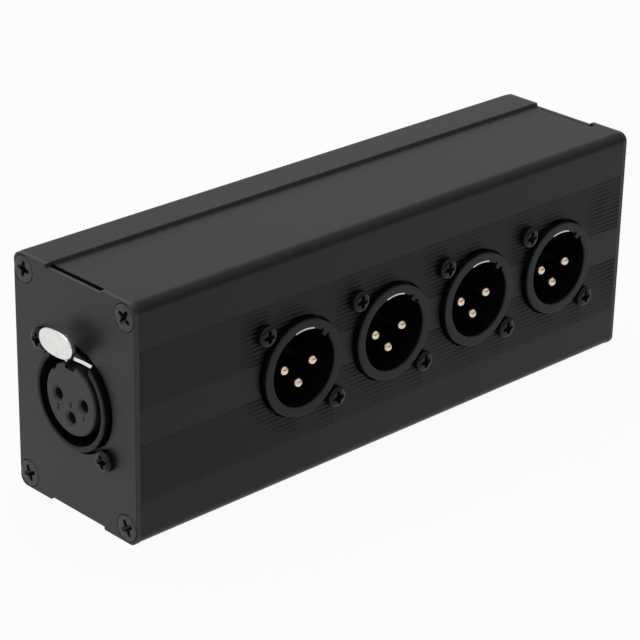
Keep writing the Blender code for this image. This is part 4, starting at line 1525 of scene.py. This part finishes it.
@dataclass(frozen=True)
class Latch:
    """Polished latch: tab, neck, curved band in the ring's gap, hook and eye."""

    outer_radius: float = 10.55 * MM
    thickness: float = 0.7 * MM
    half_angle: float = 32.05
    steps: int = 24
    rear: float = -6.1 * MM
    front: float = 1.9 * MM
    shoulder_start: float = 2.5 * MM
    shoulder_slope: float = 31.5
    far_side_front: float = -1.2 * MM
    neck_half_angle: float = 14.0
    neck_inset: float = 0.3 * MM
    neck_sink: float = 0.7 * MM / 12
    tab_width: float = 9.9 * MM
    tab_height: float = 5.5 * MM
    tab_thickness: float = 1.0 * MM
    tab_front: float = 4.5 * MM
    tab_centre: float = 13.0 * MM
    tab_fullness: float = 2.3
    tab_points: int = 72
    tab_border: float = 0.28 * MM
    tab_dip: float = 0.05 * MM
    hook_half_angle: float = 11.0
    hook_depth: float = 1.0 * MM
    hook_front: float = -2.4 * MM
    hook_length: float = 1.6 * MM
    pivot: Point = (10.85 * MM, -6.8 * MM)
    eye_radius: float = 1.4 * MM
    eye_bore: float = 0.83 * MM
    edge: float = 0.12 * MM
    edge_steps: int = 3
    tab_edge_steps: int = 4

    def _band(self, name: str, inner: float, outer: float, half_angle: float, low: float,
              high: float) -> bpy.types.Object:
        """Draws a curved plate centred on the top of the ring.

        Args:
            name: The piece's name.
            inner: Inner radius.
            outer: Outer radius.
            half_angle: Half of its width, in degrees.
            low: Height of its rear end.
            high: Height of its front end.

        Returns:
            The plate, with its front edges rounded.
        """
        turn = math.radians(90 - half_angle)
        pen = Pen(name).start(outer * math.cos(turn), outer * math.sin(turn))
        pen.arc((0, 0), 2 * half_angle, self.steps)
        pen.through((-inner * math.cos(turn), inner * math.sin(turn)))
        plate = pen.arc((0, 0), -2 * half_angle, self.steps).close().prism(low, high)
        return Bench.round_edges(plate, self.edge, self.edge_steps, Bench.at_height(high))

    def _tab(self) -> bpy.types.Object:
        """Draws the rounded tab with its softly sunk face.

        Returns:
            The tab.
        """
        points = []
        wide, tall, power = self.tab_width / 2, self.tab_height / 2, 2 / self.tab_fullness
        for step in range(self.tab_points):
            turn = 2 * math.pi * step / self.tab_points
            x, y = math.cos(turn), math.sin(turn)
            points.append((wide * math.copysign(abs(x) ** power, x),
                           self.tab_centre + tall * math.copysign(abs(y) ** power, y)))
        pen = Pen("tab").start(*points[0]).through(*points[1:]).close()
        tab = pen.prism(self.tab_front - self.tab_thickness, self.tab_front)
        front = Bench.at_height(self.tab_front)
        Bench.round_edges(tab, 2 * self.edge, self.tab_edge_steps, front)
        with Bench.editing(tab, "FACE"):
            shape = bmesh.from_edit_mesh(tab.data)
            for face in shape.faces:
                face.select_set(face.normal.z > FLAT_FACE)
            bmesh.update_edit_mesh(tab.data)
            bpy.ops.mesh.inset(thickness=self.tab_border, depth=-self.tab_dip)
        return tab

    def build(self, seat: Matrix, dresser: Dresser) -> None:
        """Builds and dresses the latch.

        Args:
            seat: The input connector's place.
            dresser: Gives it its finish.
        """
        outer = self.outer_radius
        inner = outer - self.thickness
        band = self._band("band", inner, outer, self.half_angle, self.rear, self.front)
        neck = self._band("neck", inner + self.neck_inset, outer - self.neck_sink,
                          self.neck_half_angle, self.front / 2,
                          self.tab_front - self.tab_thickness + 2 * self.edge)
        hook = self._band("hook", inner - self.hook_depth, inner + self.thickness / 2,
                          self.hook_half_angle, self.hook_front - self.hook_length,
                          self.hook_front)
        half_width = outer * math.sin(math.radians(self.half_angle))
        eye = Bench.cross_rod("eye", self.eye_radius, half_width, self.pivot)
        bore = Bench.cross_rod("bore", self.eye_bore, 2 * half_width, self.pivot)
        across = (0, self.tab_centre)
        relief = Bench.block("relief", (-2 * half_width, -self.shoulder_start), across,
                             (self.far_side_front, self.tab_front))
        shoulder = Bench.block("shoulder", (0, 2 * half_width), across, (0, self.tab_front))
        slope = Matrix.Rotation(math.radians(self.shoulder_slope), 4, "Y")
        shoulder.data.transform(Matrix.Translation((self.shoulder_start, 0, self.front)) @ slope)
        Bench.combine(band, Operation.CUT, relief, shoulder)
        lever = Bench.combine(band, Operation.JOIN, neck, self._tab(), hook, eye)
        Bench.combine(lever, Operation.CUT, bore)
        lever.name = "latch_with_tab"
        lever.data.transform(seat)
        dresser.dress(lever, Finishes.LATCH, "latch_lever", body=LATCH_BODY)


@dataclass(frozen=True)
class InputConnector(Connector):
    """Female input: a ring round an insert with three sockets, under a latch."""

    insert_radius: float = 7.5 * MM
    mouth_radius: float = 9.4 * MM
    ring_radius: float = 10.6 * MM
    ring_face: float = 1.3 * MM
    mouth_depth: float = 14.8 * MM
    rear_wall: float = 3.5 * MM
    insert_recess: float = 0.2 * MM
    insert_edge: float = 0.5 * MM
    lining: float = 0.06 * MM
    socket_radius: float = 1.2 * MM
    socket_lead_in: float = 0.4 * MM
    socket_segments: int = 40
    insert_edge_steps: int = 8
    cut_clearance: float = 1 * MM
    flange_front: float = -1.5 * MM
    web_overlap: float = 0.4 * MM
    web_segments: int = 64
    collar_gap: float = 0.3 * MM
    collar_width: float = 1.5 * MM
    collar_thickness: float = 1.7 * MM
    keyway_half_width: float = 1.5 * MM
    keyway_depth: float = 1.1 * MM
    side_key_angle: float = 132
    side_key_half_width: float = 0.8 * MM
    side_key_depth: float = 0.6 * MM
    slot_half_width: float = 6.0 * MM
    slot_top: float = 13.75 * MM
    box_wall: float = 1.5 * MM
    box_depth: float = 9.0 * MM
    box_overlap: float = 0.3 * MM
    numeral_drop: float = 2.75 * MM
    numeral_size: float = 1.7 * MM
    numeral_height: float = 0.06 * MM
    latch: Latch = Latch()

    def housing(self) -> bpy.types.Object:
        """Models the ring, the flange, the rear wall and the box over the latch.

        Returns:
            The housing.
        """
        floor = self.ring_face - self.mouth_depth
        rear = floor - self.rear_wall
        body = self.ring("housing", self.mouth_radius, self.ring_radius, self.ring_face, rear)
        self.with_flange(body, (self.mouth_radius + self.ring_radius) / 2, self.flange_front)
        steps = self.web_segments
        pen = Pen("web").circle((0, 0), self.mouth_radius + self.web_overlap, steps)
        pen.circle((0, 0), self.insert_radius + self.fit, steps)
        web = pen.prism(rear + self.fit, floor)
        box_rear = self.flange_front - self.box_depth
        half, top, wall = self.slot_half_width, self.slot_top, self.box_wall
        roof = Bench.block("roof", (-half - wall, half + wall),
                           (self.mouth_radius + self.box_overlap, top + wall),
                           (box_rear, self.flange_front))
        slot = Bench.block("slot", (-half, half), (0, top), (box_rear + wall, 2 * self.ring_face))
        pivot = Bench.cross_rod("pivot", self.latch.eye_bore, 2 * half + wall, self.latch.pivot)
        Bench.combine(body, Operation.JOIN, web, roof)
        return Bench.combine(body, Operation.CUT, slot, pivot)

    def insert(self) -> bpy.types.Object:
        """Models the insert with its socket holes and keyways.

        Returns:
            The insert.
        """
        face = self.ring_face - self.insert_recess
        floor = self.ring_face - self.mouth_depth
        shoulder = floor - self.rear_wall - self.collar_gap
        rear = shoulder - self.collar_thickness
        collar = self.insert_radius + self.collar_width
        edge = self.insert_edge
        pen = Pen("insert", Plane.UPRIGHT).start(0, face).through((self.insert_radius - edge, face))
        pen.arc((self.insert_radius - edge, face - edge), -90, self.insert_edge_steps)
        pen.through((self.insert_radius, shoulder), (collar, shoulder), (collar, rear), (0, rear))
        body = pen.turned(self.ring_segments)
        cutters = []
        mouth, chamfer, radius = self.socket_radius, self.socket_lead_in, self.insert_radius
        below, above = rear - self.cut_clearance, face + self.cut_clearance
        for place in self.contact_places():
            pen = Pen("socket", Plane.UPRIGHT).start(0, below).through((mouth, below))
            pen.through((mouth, face - chamfer), (mouth + 2 * chamfer, face + chamfer),
                        (0, face + chamfer))
            socket = pen.turned(self.socket_segments)
            socket.data.transform(Matrix.Translation((*place, 0)))
            cutters.append(socket)
        cutters.append(Bench.block("keyway", (-self.keyway_half_width, self.keyway_half_width),
                                   (radius - self.keyway_depth, 2 * radius), (floor, above)))
        side = Bench.block("side_key", (radius - self.side_key_depth, 2 * radius),
                           (-self.side_key_half_width, self.side_key_half_width),
                           (floor, above))
        side.data.transform(Matrix.Rotation(math.radians(self.side_key_angle), 4, "Z"))
        return Bench.combine(body, Operation.CUT, *cutters, side)

    def mouth_lining(self) -> bpy.types.Object:
        """Models a thin dull black sleeve of painted shade in the ring's mouth, open where the
        latch comes in.

        Returns:
            The lining.
        """
        radius = self.mouth_radius
        low, high = self.ring_face - self.mouth_depth, self.ring_face - self.rim / 2
        pen = Pen("lining", Plane.UPRIGHT).start(radius - self.lining, low)
        pen.through((radius - self.lining, high), (radius, high), (radius, low))
        lining = pen.close().turned(self.ring_segments)
        half = self.slot_half_width
        slot = Bench.block("slot", (-half, half), (0, self.slot_top), (2 * low, 2 * self.ring_face))
        return Bench.combine(lining, Operation.CUT, slot)

    def numerals(self, seat: Matrix, dresser: Dresser) -> None:
        """Raises the contact numbers on the insert's face.

        Args:
            seat: The connector's place.
            dresser: Gives them their finish.
        """
        first, second, third = self.contact_places()
        face = self.ring_face - self.insert_recess
        drop = self.numeral_drop
        places = ((first[0], first[1] - drop), (second[0], second[1] - drop),
                  (third[0], third[1] + drop))
        for number, place in enumerate(places, start=1):
            Bench.deselect_all()
            bpy.ops.object.text_add()
            text = bpy.context.object
            text.data.body = str(number)
            text.data.size = self.numeral_size
            text.data.align_x = "CENTER"
            text.data.align_y = "CENTER"
            text.data.extrude = self.numeral_height
            bpy.ops.object.convert(target="MESH")
            digit = Bench.adopt(f"contact_number_{number}")
            with Bench.editing(digit, "VERT"):
                bpy.ops.mesh.select_all(action="SELECT")
                bpy.ops.mesh.remove_doubles(threshold=WELD)
            digit.data.transform(seat @ Matrix.Translation((*place, face)))
            dresser.dress(digit, Finishes.NUMERAL)

    def build(self, places: Places, screw: bpy.types.Object, dresser: Dresser) -> None:
        """Builds and dresses the input.

        Args:
            places: Where everything lies.
            screw: The modelled pan screw.
            dresser: Gives the pieces their finish.
        """
        seat = Facing.INPUT_END.seat(places.input_axis)
        rows = ((self.housing, "input_shroud", Finishes.HOUSING, ("input_housing",)),
                (self.mouth_lining, "input_mouth_shade_sleeve", Finishes.LINING, ()),
                (self.insert, "input_socket_block", Finishes.INSERT, ("input_insert",)))
        for model, name, finish, nodes in rows:
            piece = model()
            piece.name = name
            piece.data.transform(seat)
            dresser.dress(piece, finish, *nodes)
        self.numerals(seat, dresser)
        self.latch.build(seat, dresser)
        self.fasten("input", seat, screw, dresser)


@dataclass(frozen=True)
class Inside:
    """The pieces inside the case, which keep their solids."""

    contacts: tuple[str, ...] = ("input_contact_1", "input_contact_2", "input_contact_3")
    leads: tuple[str, ...] = ("input_lead_1", "input_lead_2", "input_lead_3")
    steel: tuple[str, ...] = ("latch_pin", "latch_spring")

    def build(self, dresser: Dresser) -> None:
        """Gives each inner node its finish."""
        for names, finish in ((self.contacts, Finishes.CONTACT), (self.leads, Finishes.LEAD),
                              (self.steel, Finishes.STEEL), (("bus_board",), Finishes.BOARD)):
            for name in names:
                dresser.repaint(name, finish)


@dataclass(frozen=True)
class Lamp:
    """A soft square lamp that hangs in the studio and points at the box."""

    name: str
    place: tuple[float, float, float]
    width: float
    power: float


@dataclass(frozen=True)
class Studio:
    """White floor and background, soft lamps and the photograph's camera."""

    floor_size: float = 6.0
    floor_colour: Colour = (0.8, 0.8, 0.8)
    floor_shadow: float = 0.06
    front: tuple[float, float, float] = (0.635, -0.77, 0)
    front_gloom: float = 0.85
    gloom_ahead: Point = (0.0, 0.5)
    gloom_rise: Point = (0.05, 0.6)
    ambient: float = 0.5
    eye: tuple[float, float, float] = (-0.336419, -0.342611, 0.240369)
    heading: float = 45.819
    pitch: float = -24.475
    roll: float = 1.202
    focal_length: float = 141.112
    nearest: float = 0.01
    lamps: tuple[Lamp, ...] = (
        Lamp("top_lamp", (0.1, 0.35, 0.9), 0.7, 2.5),
        Lamp("left_lamp", (-0.9, 0.3, 0.55), 0.5, 1.0),
    )

    def background(self) -> None:
        """Makes the world white to the eye and in reflections, with a dark low front."""
        world = bpy.data.worlds.new("studio")
        bpy.context.scene.world = world
        world.use_nodes = True
        recipe = Recipe(world.node_tree)
        seen = self._seen(recipe)
        way = recipe.node("ShaderNodeTexCoord", output="Generated")
        rise = recipe.node("ShaderNodeSeparateXYZ", {}, {0: way}, output="Z")
        ahead = recipe.node("ShaderNodeVectorMath", {"operation": "DOT_PRODUCT"},
                            {0: way, 1: self.front}, output="Value")
        low = 1 - rise.ramped(*self.gloom_rise)
        gloom = ahead.ramped(*self.gloom_ahead) * low * self.front_gloom
        strength = seen * (1 - gloom) + (1 - seen) * self.ambient
        sky = recipe.node("ShaderNodeBackground", {}, {"Strength": strength})
        recipe.node("ShaderNodeOutputWorld", {}, {"Surface": sky})

    @staticmethod
    def _seen(recipe: Recipe) -> Signal:
        """Gives 1 for what the camera, a reflection or a refraction sees."""
        names = ("Is Camera Ray", "Is Glossy Ray", "Is Transmission Ray")
        rays = [recipe.node("ShaderNodeLightPath", output=name) for name in names]
        return rays[0].larger(rays[1]).larger(rays[2])

    def floor(self) -> None:
        """Lays the floor, which looks white and keeps a faint shadow."""
        Bench.deselect_all()
        bpy.ops.mesh.primitive_plane_add(size=self.floor_size)
        ground = Bench.adopt("floor")
        material = bpy.data.materials.new("white_floor")
        material.use_nodes = True
        recipe = Recipe(material.node_tree)
        matt = recipe.node("ShaderNodeBsdfDiffuse", {}, {"Color": rgba(self.floor_colour)})
        white = recipe.node("ShaderNodeEmission", {}, {"Strength": 1.0})
        share = self._seen(recipe) * (1 - self.floor_shadow)
        mixed = recipe.node("ShaderNodeMixShader", {}, {0: share, 1: matt, 2: white})
        recipe.node("ShaderNodeOutputMaterial", {}, {"Surface": mixed})
        ground.data.materials.append(material)

    def light(self, target: Vector) -> None:
        """Hangs the lamps.

        Args:
            target: What they point at.
        """
        for lamp in self.lamps:
            data = bpy.data.lights.new(lamp.name, "AREA")
            data.size = lamp.width
            data.energy = lamp.power
            hung = bpy.data.objects.new(lamp.name, data)
            hung.location = lamp.place
            hung.rotation_euler = (target - hung.location).to_track_quat("-Z", "Y").to_euler()
            bpy.context.scene.collection.objects.link(hung)

    def camera(self) -> None:
        """Sets the camera up where the photograph was taken from."""
        data = bpy.data.cameras.new("photo_camera")
        data.lens = self.focal_length
        data.clip_start = self.nearest
        camera = bpy.data.objects.new("photo_camera", data)
        aim = Matrix.Rotation(math.radians(self.heading - 90), 4, "Z")
        tilt = Matrix.Rotation(math.radians(90 + self.pitch), 4, "X")
        level = Matrix.Rotation(math.radians(self.roll), 4, "Z")
        camera.matrix_world = Matrix.Translation(self.eye) @ aim @ tilt @ level
        bpy.context.scene.collection.objects.link(camera)
        bpy.context.scene.camera = camera

    def build(self, places: Places) -> None:
        """Sets up the background, the floor, the lamps and the camera."""
        self.background()
        self.floor()
        self.light(places.middle)
        self.camera()
        bpy.context.scene.view_settings.view_transform = "Standard"


def main() -> None:
    """Builds the studio and every sub-assembly in turn."""
    logging.basicConfig(level=logging.INFO, format="%(name)s: %(message)s")
    places = Places.read()
    Studio().build(places)
    dresser = Dresser()
    shared = Connector()
    Case().build(places, shared.fixing_holes(), dresser)
    screw = shared.screw.build(shared.fit)
    InputConnector().build(places, screw, dresser)
    OutputConnector().build(places, screw, dresser)
    bpy.data.objects.remove(screw)
    Inside().build(dresser)


if __name__ == "__main__":
    main()
